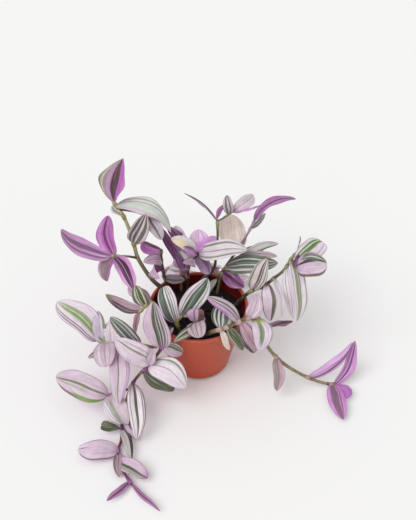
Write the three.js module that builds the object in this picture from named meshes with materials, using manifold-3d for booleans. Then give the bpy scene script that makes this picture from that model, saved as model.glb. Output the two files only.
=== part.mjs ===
// A trailing tradescantia with striped lilac leaves, in a terracotta-coloured plastic nursery pot.
// Millimetres, +Z up. The origin is the centre of the pot's base, and the plant's best side faces -Y.
import * as THREE from 'three';
import { mergeVertices } from 'three/addons/utils/BufferGeometryUtils.js';
import Module from 'manifold-3d';

const wasm = await Module();
wasm.setup();

// Pot
const POT_TOP_RADIUS = 60;
const POT_HEIGHT = 95;
const POT_WALL = 1.6;
const LIP_HEIGHT = 4;
const LIP_STEP = 2;
const LIP_ROUND = 0.7;
const WALL_FOOT_RADIUS = 38.5;
const FOOT_ROUND = 8;
const BASE_RADIUS = 31;
const FOOT_STEPS = 3;
const POT_SEGMENTS = 40;
const DRAIN_COUNT = 6;
const DRAIN_RADIUS = 4;
const DRAIN_CIRCLE = 21;

// Compost
const SOIL_TOP = 80;
const SOIL_GAP = 0.3;
const SOIL_RINGS = [20, 40];
const CLOD_HEIGHT = 1.1;
const CLOD_WAVES = [0.31, 0.37];
const FOOT_CLEARANCE = 0.5;
const ROOT_DEPTH = 9;
const HOLE_GAP = 0.7;
const HOLE_SIDES = 8;

// Stems
const STEM_SIDES = 6;
const STEM_STEPS_PER_SPAN = 2;
const STEM_TAPER = 0.3;
const NODE_SWELLING = 0.45;
const NODE_REACH = 0.18;

// Leaves
const RIB_THICKNESS = 1.1;
const EDGE_THICKNESS = 0.7;
const LEAF_STATIONS = [0, 0.14, 0.36, 0.6, 0.84];
const LEAF_ARCH = 0.1;
const ROOT_SHARE = 0.004;
const ROOT_POWER = 0.5;
const TIP_POWER = 0.62;
const LEAF_FOLD = 15;

// Colours
const TERRACOTTA = '#b0583c';
const COMPOST = '#2b201c';
const PALE_LEAF = '#cfc2d0';
const VIOLET_LEAF = '#a87bb2';
const GREEN_LEAF = '#93a28c';

// Directions that the upper side of a leaf looks in
const UP = [0, 0, 1];
const FRONT_UP = [0, -1, 1];
const FRONT_HIGH = [0, -1, 2];
const FRONT = [0, -2, 1];
const FRONT_LEFT = [-1, -2, 1];
const LEFT_UP = [-1, -2, 2];
const RIGHT_UP = [1, -2, 2];
const BACK_DOWN = [0, 1, -1];
const BACK_HIGH = [0, 1, 2];

// One leaf: its place along the stem's route, the point of its tip, its width and where it looks.
function leaf(at, tip, width, face, bend = {}) {
  const usual = { arch: LEAF_ARCH, fold: LEAF_FOLD, sway: 0, root: ROOT_POWER, point: TIP_POWER };
  return { at, tip, width, face, ...usual, ...bend };
}

// Every leafy stem, with the points that it runs through and its leaves. A stem that doesn't start
// in the compost is a side branch of the one before it.
const SHOOTS = [
  {
    name: 'shoot_upper_left',
    colour: VIOLET_LEAF,
    stems: [
      {
        radius: 2.9,
        route: [
          [-38, 22, 80], [-44, 25, 97], [-52, 27, 105], [-61, 31, 115], [-73, 40, 134],
          [-77, 47, 147], [-83, 58, 164], [-91, 68, 179], [-101, 76, 190],
        ],
        leaves: [
          leaf(7.9, [-88, 99, 238], 50, [-6, -6, 5], { arch: 0.02, fold: 38, root: 1.1, point: 1.15 }),
          leaf(6.9, [-105, 85, 179], 8, [-1, 1, 1], { sway: -0.14 }),
          leaf(7.75, [-33, 60, 158], 30, [2, -1, 4], { arch: 0.33, fold: 6 }),
          leaf(5.2, [-60, 44, 197], 23, [0, -3, 2]),
        ],
      },
      {
        radius: 1.4,
        route: [[-95, 71, 184], [-77, 64, 186], [-58, 56, 185]],
        leaves: [
          leaf(2, [-43, 41, 162], 16.5, FRONT_UP),
        ],
      },
      {
        radius: 1.6,
        route: [[-73, 40, 134], [-85, 34, 142], [-102, 28, 148]],
        leaves: [
          leaf(1.9, [-104, 43, 196], 22, BACK_DOWN, { arch: 0.05, sway: 0.13 }),
          leaf(2, [-155, 18, 193], 25, [-1, 1, -2], { arch: 0.08, sway: 0.06, point: 0.42 }),
          leaf(1.9, [-78, 9, 112], 25, [1, 1, -1]),
          leaf(1.8, [-109, 8, 126], 20, [-1, 2, -1], { fold: 30, sway: -0.14, point: 0.42 }),
        ],
      },
    ],
  },
  {
    name: 'shoot_centre_left',
    colour: VIOLET_LEAF,
    stems: [
      {
        radius: 2,
        route: [[-30, 33, 80], [-40, 34, 101], [-45, 44, 124], [-45, 48, 140]],
        leaves: [
          leaf(2.9, [-68, 44, 154], 20, [-1, 1, -1], { arch: 0.2, fold: 40 }),
          leaf(2.2, [-65, 24, 142], 15.5, FRONT_UP, { arch: 0.15 }),
          leaf(1.6, [-45, 4, 133], 14.5, [-1, -1, 1], { arch: 0.3 }),
          leaf(1.2, [-17, 34, 104], 12, FRONT_UP),
        ],
      },
    ],
  },
  {
    name: 'shoot_centre_back',
    colour: VIOLET_LEAF,
    stems: [
      {
        radius: 2.2,
        route: [[-14, 42, 80], [-14, 42, 105], [-11, 46, 121], [0, 50, 134]],
        leaves: [
          leaf(0.9, [-46, 58, 169], 13, BACK_DOWN, { arch: 0.05, fold: 10 }),
          leaf(2.8, [-38, 77, 154], 18, [-1, 1, 0], { arch: 0.05 }),
          leaf(2.9, [-33, 52, 155], 18, FRONT_HIGH, { arch: 0.15 }),
          leaf(2, [-30, 90, 144], 18, FRONT_UP, { arch: 0.12 }),
          leaf(3, [0, 69, 155], 26, FRONT_UP),
          leaf(2.9, [21, 60, 151], 18, FRONT_UP, { arch: 0.15 }),
          leaf(2.7, [-17, 28, 162], 13.5, BACK_DOWN, { arch: -0.1 }),
          leaf(2.8, [13, 26, 121], 16.5, BACK_DOWN, { arch: 0.15 }),
          leaf(1.9, [-18, 14, 149], 13.5, FRONT_UP, { arch: 0.2 }),
          leaf(3, [58, 34, 152], 26.5, [0, -2, 3]),
          leaf(1.6, [-28, 30, 141], 13, [-1, -1, 1], { arch: 0.2 }),
        ],
      },
    ],
  },
  {
    name: 'shoot_back_tall',
    colour: PALE_LEAF,
    stems: [
      {
        radius: 2.1,
        route: [
          [-3, 45, 80], [5, 47, 94], [15, 52, 100], [20, 57, 108], [21, 61, 118], [23, 66, 141],
          [23, 78, 161],
        ],
        leaves: [
          leaf(6, [-18, 96, 190], 13.5, [-1, -1, -1], { arch: -0.1, fold: 30 }),
          leaf(5.9, [40, 104, 169], 13.5, [-1, 1, 0], { arch: 0.2 }),
        ],
      },
      {
        radius: 1.3,
        route: [[23, 78, 161], [30, 80, 164], [42, 84, 172]],
        leaves: [
          leaf(1.6, [34, 92, 190], 13, FRONT_UP, { arch: 0.3 }),
          leaf(2, [76, 76, 188], 18, [0, 1, 3], { arch: -0.1 }),
          leaf(1.9, [68, 111, 176], 17, FRONT, { arch: 0.2 }),
        ],
      },
    ],
  },
  {
    name: 'shoot_back_right',
    colour: VIOLET_LEAF,
    stems: [
      {
        radius: 1.8,
        route: [
          [13, 42, 80], [32, 52, 108], [46, 60, 127], [54, 66, 138], [62, 74, 149], [68, 82, 158],
        ],
        leaves: [
          leaf(5, [117, 84, 190], 21, [-5, 10, 3], { arch: 0.2, fold: 10 }),
          leaf(4.2, [81, 81, 171], 9, [1, 0, 1], { arch: 0.05 }),
          leaf(2.1, [37, 108, 149], 34.5, FRONT_UP, { arch: 0.06 }),
        ],
      },
    ],
  },
  {
    name: 'shoot_right_back',
    colour: GREEN_LEAF,
    stems: [
      {
        radius: 1.9,
        route: [[23, 36, 80], [29, 46, 106], [41, 50, 119], [55, 54, 129]],
        leaves: [
          leaf(2.8, [81, 66, 130], 14.5, FRONT_UP),
          leaf(3, [98, 68, 134], 12, FRONT_HIGH),
          leaf(3, [95, 42, 135], 11, FRONT_UP),
          leaf(1.5, [95, 32, 133], 24.5, FRONT_UP, { arch: 0.12 }),
          leaf(1, [55, 22, 103], 20, BACK_DOWN, { arch: -0.1 }),
        ],
      },
    ],
  },
  {
    name: 'shoot_right_upper',
    colour: PALE_LEAF,
    stems: [
      {
        radius: 2.2,
        route: [
          [41, 10, 80], [61, 10, 106], [77, 14, 111], [89, 16, 122], [101, 17, 135],
          [109, 22, 148], [115, 26, 154],
        ],
        leaves: [
          leaf(1.2, [81, 26, 145], 22, LEFT_UP, { arch: 0.05 }),
          leaf(5.7, [120, 44, 165], 13, [1, 0, 0], { arch: 0.05 }),
          leaf(4.4, [114, -7, 78], 11, FRONT_LEFT),
          leaf(5, [117, -20, 87], 19, [1, -3, 1], { sway: -0.07 }),
          leaf(2.4, [85, -16, 83], 18, FRONT, { arch: 0.12 }),
          leaf(3.1, [98, -24, 98], 10, [1, -2, 1], { arch: 0.12 }),
        ],
      },
      {
        radius: 1.5,
        route: [[109, 22, 148], [112, 17, 146], [115, 12, 144]],
        leaves: [
          leaf(1.7, [146, 35, 163], 28, LEFT_UP, { point: 0.32 }),
          leaf(2, [147, -1, 160], 30, FRONT_UP, { point: 0.45 }),
          leaf(2, [116, 18, 159], 13, [-1, 1, -1], { arch: -0.05 }),
        ],
      },
    ],
  },
  {
    name: 'shoot_right_trailer',
    colour: PALE_LEAF,
    stems: [
      {
        radius: 2.6,
        route: [
          [6, -38, 80], [16, -50, 100], [30, -49, 105], [43, -45, 109], [57, -40, 111],
          [72, -31, 100], [80, -36, 66], [98, -43, 43], [123, -48, 25], [148, -48, 10],
          [167, -48, 5],
        ],
        leaves: [
          leaf(1.8, [31, -20, 117], 28, FRONT_UP, { point: 0.45 }),
          leaf(3.3, [10, -28, 134], 16.5, [1, -1, 1], { arch: 0.15 }),
          leaf(1.7, [36, -58, 78], 8, FRONT_UP),
          leaf(2.3, [52, -56, 76], 13, FRONT_UP),
          leaf(4.1, [69, -21, 132], 19, FRONT_LEFT, { sway: 0.08 }),
          leaf(4.7, [71, -61, 80], 24, FRONT_UP, { arch: 0.2, sway: -0.13 }),
          leaf(3.4, [68, -44, 60], 22, FRONT_UP, { arch: 0.12 }),
          leaf(5.35, [109, -38, 105], 19, [0, 2, 1], { arch: -0.04 }),
          leaf(6.8, [94, -67, 16], 16, FRONT_LEFT, { fold: 20, sway: -0.1 }),
          leaf(8.4, [187, -21, 52], 16, [-1, 1, -1], { arch: 0.02, sway: -0.14 }),
          leaf(10, [190, -20, 53], 16, [1, 1, -1], { sway: -0.06 }),
          leaf(9.8, [170, -102, 7], 21, [1, 1, -5], { arch: -0.04, fold: 6 }),
          leaf(10, [182, -71, 10], 17.5, [0, 1, -4], { arch: -0.04, fold: 8, point: 0.42 }),
        ],
      },
    ],
  },
  {
    name: 'shoot_front_left',
    colour: GREEN_LEAF,
    stems: [
      {
        radius: 2.2,
        route: [[-22, -30, 80], [-25, -28, 92], [-20, -26, 102]],
        leaves: [
          leaf(1, [-40, -2, 126], 24, LEFT_UP, { arch: 0.12, point: 0.34 }),
          leaf(2, [11, 6, 132], 26.5, RIGHT_UP, { arch: 0.12 }),
          leaf(1.8, [22, 22, 116], 13, FRONT_UP),
        ],
      },
    ],
  },
  {
    name: 'shoot_front_bud',
    colour: PALE_LEAF,
    stems: [
      {
        radius: 2,
        route: [[-4, -30, 80], [-3, -32, 98]],
        leaves: [
          leaf(1, [-2, -25, 113], 21, FRONT, { arch: 0.15, fold: 10, point: 0.36 }),
          leaf(0.9, [1, -66, 107], 23, FRONT_UP, { arch: 0.12, point: 0.36 }),
          leaf(0.5, [-27, -68, 102], 13, FRONT_UP, { arch: 0.25 }),
          leaf(0.8, [8, -26, 99], 10, FRONT_UP, { arch: 0.2 }),
        ],
      },
    ],
  },
  {
    name: 'shoot_left',
    colour: GREEN_LEAF,
    stems: [
      {
        radius: 2,
        route: [[-44, 2, 80], [-55, -2, 101], [-64, -6, 97], [-70, -10, 92]],
        leaves: [
          leaf(1.9, [-75, 9, 118], 18, LEFT_UP, { arch: 0.08 }),
          leaf(1.3, [-86, 26, 100], 16.5, FRONT_HIGH, { arch: 0.08 }),
          leaf(2.6, [-111, 7, 105], 15, FRONT_UP, { arch: -0.1, sway: -0.08 }),
          leaf(3, [-75, -24, 69], 12, [-1, -1, 0]),
        ],
      },
    ],
  },
  {
    name: 'shoot_far_left',
    colour: PALE_LEAF,
    stems: [
      {
        radius: 2.1,
        route: [
          [-42, -20, 80], [-43, -28, 94], [-44, -44, 99], [-48, -54, 80], [-65, -52, 80],
          [-92, -46, 72], [-106, -42, 71], [-116, -36, 73],
        ],
        leaves: [
          leaf(7, [-164, -16, 115], 33.5, FRONT_UP, { sway: 0.07, point: 0.5 }),
          leaf(6.8, [-117, -22, 106], 16.5, FRONT_UP),
          leaf(5.7, [-103, -26, 95], 16.5, FRONT_UP),
          leaf(4.1, [-102, -30, 104], 17.5, FRONT_UP),
          leaf(5, [-91, -101, 35], 24.5, FRONT, { arch: 0.12 }),
          leaf(6.3, [-106, -73, 66], 27, FRONT_UP, { arch: 0.2, point: 0.42 }),
          leaf(5, [-108, -58, 63], 20, FRONT_HIGH, { arch: 0.15 }),
          leaf(6.2, [-129, -55, 61], 11, [-1, -1, 1], { sway: -0.14 }),
          leaf(6.5, [-124, -33, 80], 10, FRONT_UP, { arch: 0.15 }),
        ],
      },
    ],
  },
  {
    name: 'shoot_long_trailer',
    colour: PALE_LEAF,
    stems: [
      {
        radius: 2.1,
        route: [
          [-30, -34, 80], [-31, -38, 93], [-34, -49, 100], [-39, -60, 90], [-56, -66, 63],
          [-73, -74, 46], [-83, -82, 25], [-88, -104, 8], [-88, -130, 5], [-90, -141, 4],
          [-87, -162, 4], [-72, -187, 5],
        ],
        leaves: [
          leaf(3.9, [-94, -62, 101], 27.5, FRONT_UP, { arch: 0.12 }),
          leaf(4.1, [-49, -66, 90], 11, FRONT_UP),
          leaf(4, [-14, -86, 45], 31, FRONT_UP, { arch: 0.12, sway: -0.14 }),
          leaf(4.4, [-29, -66, 17], 20, FRONT_UP),
          leaf(3.1, [-18, -55, 70], 16.5, FRONT_UP),
          leaf(2.9, [-28, -50, 107], 6, FRONT_LEFT),
          leaf(5.3, [-69, -134, 13], 22, RIGHT_UP, { arch: 0.15 }),
          leaf(7.2, [-110, -90, 24], 9, FRONT_UP, { arch: 0.05, sway: -0.14 }),
          leaf(7.4, [-112, -115, 12], 13, FRONT_HIGH, { root: 1.1, point: 0.3 }),
          leaf(6.9, [-70, -130, 6], 10, FRONT_HIGH),
          leaf(7.4, [-74, -158, 7], 13, [1, -1, 3], { sway: 0.01 }),
          leaf(9.1, [-134, -148, 12], 23, FRONT_HIGH, { arch: 0.12, sway: -0.04, point: 0.5 }),
          leaf(9.3, [-86, -178, 4], 11, FRONT_HIGH),
          leaf(9.7, [-54, -182, 9], 18, FRONT_HIGH, { arch: 0.12, point: 0.5 }),
          leaf(10.9, [-96, -210, 9], 9, [-1, 1, -3], { arch: -0.05 }),
          leaf(11, [-39, -221, 7], 6.5, [1, 1, -3], { arch: -0.05 }),
          leaf(3.2, [-50, -41, 139], 31, [-1, -3, 2], { arch: 0.12, sway: 0.04 }),
        ],
      },
      {
        radius: 1.5,
        route: [[-80, -78, 33], [-89, -84, 37], [-106, -84, 29]],
        leaves: [
          leaf(2, [-169, -62, 36], 33, FRONT_UP, { arch: 0.12, sway: 0.03 }),
          leaf(1.7, [-81, -114, 13], 21, FRONT_UP, { arch: 0.12 }),
        ],
      },
    ],
  },
  {
    name: 'shoot_back_low_left',
    colour: PALE_LEAF,
    stems: [
      {
        radius: 2,
        route: [
          [-22, 42, 80], [-22, 51, 97], [-20, 66, 99], [-22, 84, 82], [-26, 100, 52],
          [-34, 122, 20], [-42, 146, 6],
        ],
        leaves: [
          leaf(2.4, [-48, 84, 62], 18, [-1, 1, 1], { arch: 0.15 }),
          leaf(3, [6, 112, 56], 20, [1, 1, 1], { arch: 0.15 }),
          leaf(3.6, [-58, 118, 40], 20, [-1, 1, 1], { arch: 0.12 }),
          leaf(4.5, [2, 138, 22], 20, BACK_HIGH, { arch: 0.12 }),
          leaf(5.3, [-60, 166, 8], 18, BACK_HIGH, { arch: 0.12 }),
          leaf(6, [-22, 186, 6], 18, UP, { arch: 0.15 }),
        ],
      },
    ],
  },
  {
    name: 'shoot_back_low_right',
    colour: PALE_LEAF,
    stems: [
      {
        radius: 2,
        route: [
          [9, 48, 80], [10, 51, 90], [10, 57, 99], [12, 68, 98], [16, 84, 80], [22, 98, 52],
          [30, 116, 22], [42, 134, 8],
        ],
        leaves: [
          leaf(3.4, [40, 82, 58], 18, [1, 1, 1], { arch: 0.15 }),
          leaf(4.1, [22, 118, 40], 16.5, [0, 1, 1], { arch: 0.12 }),
          leaf(4.8, [60, 108, 32], 20, [1, 1, 1], { arch: 0.12 }),
          leaf(5.8, [22, 150, 12], 18, BACK_HIGH, { arch: 0.12 }),
          leaf(6.6, [70, 146, 8], 18, UP, { arch: 0.15 }),
          leaf(7, [54, 172, 6], 16.5, UP, { arch: 0.15 }),
        ],
      },
    ],
  },
];

// A closed mesh as a solid that can be cut and joined.
function toSolid(geometry) {
  const bare = geometry.clone();
  bare.deleteAttribute('normal');
  bare.deleteAttribute('uv');
  const merged = mergeVertices(bare, 1e-4);
  const index = merged.getIndex().array;
  const kept = [];
  for (let i = 0; i < index.length; i += 3) {
    const [a, b, c] = [index[i], index[i + 1], index[i + 2]];
    if (a !== b && b !== c && c !== a) {
      kept.push(a, b, c);
    }
  }
  const mesh = new wasm.Mesh({
    numProp: 3,
    vertProperties: new Float32Array(merged.getAttribute('position').array),
    triVerts: new Uint32Array(kept),
  });
  return new wasm.Manifold(mesh);
}

// A solid as a geometry.
function toGeometry(solid) {
  const mesh = solid.getMesh();
  const geometry = new THREE.BufferGeometry();
  geometry.setAttribute('position', new THREE.BufferAttribute(new Float32Array(mesh.vertProperties), 3));
  geometry.setIndex(new THREE.BufferAttribute(new Uint32Array(mesh.triVerts), 1));
  geometry.computeVertexNormals();
  return geometry;
}

// A geometry from a list of points and a list of triangles.
function fromFaces(points, faces) {
  const geometry = new THREE.BufferGeometry();
  const flat = points.flatMap((p) => [p.x, p.y, p.z]);
  geometry.setAttribute('position', new THREE.Float32BufferAttribute(flat, 3));
  geometry.setIndex(faces.flat());
  return geometry;
}

// A round body about the Z axis, from its profile of radius and height.
function turned(profile, segments) {
  const points = profile.map(([radius, height]) => new THREE.Vector2(radius, height));
  return new THREE.LatheGeometry(points, segments).rotateX(Math.PI / 2);
}

// An upright cylinder between two heights, which cuts a hole.
function uprightCylinder(radius, x, y, low, high) {
  return new THREE.CylinderGeometry(radius, radius, high - low, HOLE_SIDES)
    .rotateX(Math.PI / 2)
    .translate(x, y, (low + high) / 2);
}

// The outside radius of the pot's tapered wall at a height.
function wallRadius(height) {
  const top = POT_TOP_RADIUS - LIP_STEP;
  const share = (height - FOOT_ROUND) / (POT_HEIGHT - LIP_HEIGHT - FOOT_ROUND);
  return WALL_FOOT_RADIUS + (top - WALL_FOOT_RADIUS) * share;
}

// The rounded foot between the base and the wall, as a quarter of an ellipse.
function footArc(inset) {
  const arc = [];
  for (let i = 0; i <= FOOT_STEPS; i += 1) {
    const angle = (i / FOOT_STEPS) * (Math.PI / 2);
    const radius = BASE_RADIUS + (WALL_FOOT_RADIUS - BASE_RADIUS - inset) * Math.sin(angle);
    arc.push([radius, inset + (FOOT_ROUND - inset) * (1 - Math.cos(angle))]);
  }
  return arc;
}

// The pot: tapered wall, rolled lip, rounded foot, flat base with a ring of drainage holes.
function makePot() {
  const lipLow = POT_HEIGHT - LIP_HEIGHT;
  const lipInner = POT_TOP_RADIUS - LIP_STEP - POT_WALL;
  const profile = [
    [0, 0],
    ...footArc(0),
    [wallRadius(lipLow), lipLow],
    [POT_TOP_RADIUS, lipLow],
    [POT_TOP_RADIUS, POT_HEIGHT - LIP_ROUND],
    [POT_TOP_RADIUS - LIP_ROUND, POT_HEIGHT],
    [lipInner + LIP_ROUND, POT_HEIGHT],
    [lipInner, POT_HEIGHT - LIP_ROUND],
    [lipInner, lipLow],
    ...footArc(POT_WALL).reverse(),
    [0, POT_WALL],
  ];
  let pot = toSolid(turned(profile, POT_SEGMENTS));
  for (let i = 0; i < DRAIN_COUNT; i += 1) {
    const angle = (i / DRAIN_COUNT) * 2 * Math.PI;
    const x = DRAIN_CIRCLE * Math.cos(angle);
    const y = DRAIN_CIRCLE * Math.sin(angle);
    pot = pot.subtract(toSolid(uprightCylinder(DRAIN_RADIUS, x, y, -POT_WALL, 2 * POT_WALL)));
  }
  return toGeometry(pot);
}

// The first points of the stems that grow from the compost, with their radii.
function rootedStems() {
  const stems = SHOOTS.flatMap((shoot) => shoot.stems);
  return stems.filter((stem) => stem.route[0][2] === SOIL_TOP);
}

// The compost: it fills the pot with a small gap, has a clodded top and a plain hole for each stem.
function makeSoil() {
  const low = POT_WALL + SOIL_GAP;
  const inset = POT_WALL + SOIL_GAP;
  const edgeHeight = SOIL_TOP - CLOD_HEIGHT;
  const top = SOIL_RINGS.map((radius) => [radius, SOIL_TOP]).reverse();
  const profile = [
    [0, low],
    [BASE_RADIUS - SOIL_GAP, low],
    [wallRadius(FOOT_ROUND) - inset - FOOT_CLEARANCE, FOOT_ROUND],
    [wallRadius(edgeHeight) - inset, edgeHeight],
    ...top,
    [0, SOIL_TOP],
  ];
  const geometry = turned(profile, POT_SEGMENTS);
  const position = geometry.getAttribute('position');
  for (let i = 0; i < position.count; i += 1) {
    if (position.getZ(i) > SOIL_TOP - CLOD_HEIGHT / 2) {
      const clod = Math.sin(position.getX(i) * CLOD_WAVES[0]) * Math.cos(position.getY(i) * CLOD_WAVES[1]);
      position.setZ(i, SOIL_TOP + CLOD_HEIGHT * clod);
    }
  }
  let soil = toSolid(geometry);
  for (const stem of rootedStems()) {
    const [x, y] = stem.route[0];
    const lowEnd = SOIL_TOP - ROOT_DEPTH - SOIL_GAP;
    const highEnd = SOIL_TOP + 3 * CLOD_HEIGHT;
    soil = soil.subtract(toSolid(uprightCylinder(stem.radius + HOLE_GAP, x, y, lowEnd, highEnd)));
  }
  return toGeometry(soil);
}

// The smooth curve of a stem through its points, by place along the list of points.
function stemCurve(stem) {
  const points = stem.route.map(([x, y, z]) => new THREE.Vector3(x, y, z));
  const last = points.length - 1;
  return (at) => {
    const span = Math.min(Math.floor(at), last - 1);
    const start = points[span];
    const end = points[span + 1];
    const before = span > 0 ? points[span - 1] : start.clone().multiplyScalar(2).sub(end);
    const after = span + 2 <= last ? points[span + 2] : end.clone().multiplyScalar(2).sub(start);
    const curve = (a, b, c, d) => {
      const t = at - span;
      return 0.5 * (2 * b + (c - a) * t + (2 * a - 5 * b + 4 * c - d) * t * t
        + (3 * b - a - 3 * c + d) * t * t * t);
    };
    return new THREE.Vector3(
      curve(before.x, start.x, end.x, after.x),
      curve(before.y, start.y, end.y, after.y),
      curve(before.z, start.z, end.z, after.z),
    );
  };
}

// The stem's radius at a place: it tapers to its tip and swells at each leaf's node.
function stemRadius(stem, at) {
  const taper = 1 - STEM_TAPER * (at / (stem.route.length - 1));
  let swelling = 0;
  for (const one of stem.leaves) {
    swelling = Math.max(swelling, NODE_SWELLING * Math.exp(-(((at - one.at) / NODE_REACH) ** 2)));
  }
  return stem.radius * taper + swelling;
}

// A stem as a many-sided tube, with its root straight down into its hole in the compost.
function makeStem(stem) {
  const curve = stemCurve(stem);
  const spans = stem.route.length - 1;
  const centres = [];
  const radii = [];
  if (stem.route[0][2] === SOIL_TOP) {
    const [x, y] = stem.route[0];
    centres.push(new THREE.Vector3(x, y, SOIL_TOP - ROOT_DEPTH));
    radii.push(stem.radius);
  }
  for (let i = 0; i <= spans * STEM_STEPS_PER_SPAN; i += 1) {
    const at = i / STEM_STEPS_PER_SPAN;
    centres.push(curve(at));
    radii.push(stemRadius(stem, at));
  }
  return tube(centres, radii);
}

// A closed tube through the centres, whose section turns with the path without twisting.
function tube(centres, radii) {
  const points = [];
  const faces = [];
  let across = null;
  centres.forEach((centre, i) => {
    const next = centres[Math.min(i + 1, centres.length - 1)];
    const previous = centres[Math.max(i - 1, 0)];
    const along = next.clone().sub(previous).normalize();
    if (across === null) {
      across = Math.abs(along.z) > 0.7 ? new THREE.Vector3(1, 0, 0) : new THREE.Vector3(0, 0, 1);
    }
    across = across.clone().sub(along.clone().multiplyScalar(across.dot(along))).normalize();
    const other = along.clone().cross(across);
    for (let side = 0; side < STEM_SIDES; side += 1) {
      const angle = (side / STEM_SIDES) * 2 * Math.PI;
      const offset = across.clone().multiplyScalar(Math.cos(angle));
      offset.add(other.clone().multiplyScalar(Math.sin(angle))).multiplyScalar(radii[i]);
      points.push(centre.clone().add(offset));
    }
  });
  for (let i = 0; i + 1 < centres.length; i += 1) {
    for (let side = 0; side < STEM_SIDES; side += 1) {
      const a = i * STEM_SIDES + side;
      const b = i * STEM_SIDES + ((side + 1) % STEM_SIDES);
      faces.push([a, b, b + STEM_SIDES], [a, b + STEM_SIDES, a + STEM_SIDES]);
    }
  }
  const lastRing = (centres.length - 1) * STEM_SIDES;
  for (let side = 1; side + 1 < STEM_SIDES; side += 1) {
    faces.push([0, side + 1, side], [lastRing, lastRing + side, lastRing + side + 1]);
  }
  return fromFaces(points, faces);
}

// Half of a leaf's width at a share t of its length: round near the base, drawn out to a point. Each
// power shapes its own end, and a lower one makes it blunter.
function halfWidth(one, t) {
  const { root, point } = one;
  const widest = ((root / (root + point)) ** root) * ((point / (root + point)) ** point);
  return (one.width / 2) * ((t + ROOT_SHARE) ** root) * ((1 - t) ** point) / widest;
}

// A leaf as a thin closed blade. Its midrib bows from the stem to the tip, on some leaves to a side
// too, and its two halves rise from the midrib by the fold. The section at each station has an edge,
// the rib and an edge on both faces, and the blade closes in a point.
function makeLeaf(base, one) {
  const tip = new THREE.Vector3(...one.tip);
  const reach = tip.clone().sub(base);
  const length = reach.length();
  const along = reach.clone().normalize();
  const look = new THREE.Vector3(...one.face);
  look.sub(along.clone().multiplyScalar(look.dot(along))).normalize();
  const side = along.clone().cross(look);
  const fold = THREE.MathUtils.degToRad(one.fold);
  const points = [];
  const faces = [];
  for (const t of LEAF_STATIONS) {
    const bow = look.clone().multiplyScalar(one.arch).add(side.clone().multiplyScalar(one.sway));
    bow.multiplyScalar(length * 4);
    const middle = base.clone().add(reach.clone().multiplyScalar(t));
    middle.add(bow.clone().multiplyScalar(t * (1 - t)));
    const tangent = reach.clone().add(bow.clone().multiplyScalar(1 - 2 * t)).normalize();
    const normal = look.clone().sub(tangent.clone().multiplyScalar(look.dot(tangent))).normalize();
    const half = halfWidth(one, t);
    for (const [face, sign] of [['upper', 1], ['lower', -1]]) {
      for (const s of [-1, 0, 1]) {
        const thickness = s === 0 ? RIB_THICKNESS : EDGE_THICKNESS;
        const rise = Math.abs(s) * half * Math.sin(fold) + (sign * thickness) / 2;
        const point = middle.clone().add(side.clone().multiplyScalar(s * half * Math.cos(fold)));
        point.add(normal.clone().multiplyScalar(rise));
        points.push(point);
      }
    }
  }
  const ring = 6;
  const loop = [0, 1, 2, 5, 4, 3];
  for (let i = 0; i + 1 < LEAF_STATIONS.length; i += 1) {
    for (let k = 0; k < ring; k += 1) {
      const a = i * ring + loop[k];
      const b = i * ring + loop[(k + 1) % ring];
      faces.push([a, b, b + ring], [a, b + ring, a + ring]);
    }
  }
  const lastRing = (LEAF_STATIONS.length - 1) * ring;
  points.push(tip);
  for (let k = 0; k < ring; k += 1) {
    faces.push([lastRing + loop[k], lastRing + loop[(k + 1) % ring], points.length - 1]);
  }
  faces.push([0, 3, 4], [0, 4, 1], [1, 4, 5], [1, 5, 2]);
  return fromFaces(points, faces);
}

// A leafy stem with its side branches and all their leaves, fused into one body.
function makeShoot(shoot) {
  const pieces = [];
  for (const stem of shoot.stems) {
    const curve = stemCurve(stem);
    pieces.push(toSolid(makeStem(stem)));
    for (const one of stem.leaves) {
      pieces.push(toSolid(makeLeaf(curve(one.at), one)));
    }
  }
  return toGeometry(wasm.Manifold.union(pieces));
}

// A named piece with its own colour.
function piece(name, geometry, colour, roughness) {
  const material = new THREE.MeshStandardMaterial({ color: colour, roughness, metalness: 0 });
  const mesh = new THREE.Mesh(geometry, material);
  mesh.name = name;
  return mesh;
}

const group = new THREE.Group();
group.add(piece('pot', makePot(), TERRACOTTA, 0.5));
group.add(piece('soil', makeSoil(), COMPOST, 0.95));
for (const shoot of SHOOTS) {
  group.add(piece(shoot.name, makeShoot(shoot), shoot.colour, 0.55));
}

export default group;
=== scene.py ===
"""The dressed model of a potted tradescantia with striped lilac, green and magenta leaves.

The plant grows from dark compost in a tapered, terracotta-coloured nursery pot. Each shape is a
ring of points carried along a path, worked out as whole numpy arrays. Lengths in the tables are
millimetres, as on a grower's drawing, and every mesh is made in metres. Colours are written as
the eye sees them, from 0 to 255, and are turned into light values where a material takes them.
"""

import logging
import math
from dataclasses import dataclass, field
from enum import Enum

import bpy
import numpy as np
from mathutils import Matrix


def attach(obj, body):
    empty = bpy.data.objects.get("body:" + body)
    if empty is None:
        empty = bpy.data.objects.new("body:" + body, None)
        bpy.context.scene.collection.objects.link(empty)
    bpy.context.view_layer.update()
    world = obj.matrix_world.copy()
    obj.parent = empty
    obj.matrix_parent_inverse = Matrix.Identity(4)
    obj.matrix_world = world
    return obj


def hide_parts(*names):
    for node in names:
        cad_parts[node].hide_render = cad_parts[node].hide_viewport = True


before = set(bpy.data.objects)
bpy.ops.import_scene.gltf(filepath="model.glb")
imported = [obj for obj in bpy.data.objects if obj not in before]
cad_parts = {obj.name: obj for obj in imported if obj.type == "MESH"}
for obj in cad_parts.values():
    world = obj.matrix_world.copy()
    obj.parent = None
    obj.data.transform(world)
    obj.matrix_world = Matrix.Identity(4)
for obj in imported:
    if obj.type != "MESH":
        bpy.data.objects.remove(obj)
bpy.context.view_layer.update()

LOG = logging.getLogger("tradescantia")
MM = 0.001
BODY = "root"

Colour = tuple[int, int, int]
Point = tuple[float, float, float]
Socket = bpy.types.NodeSocket

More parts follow.
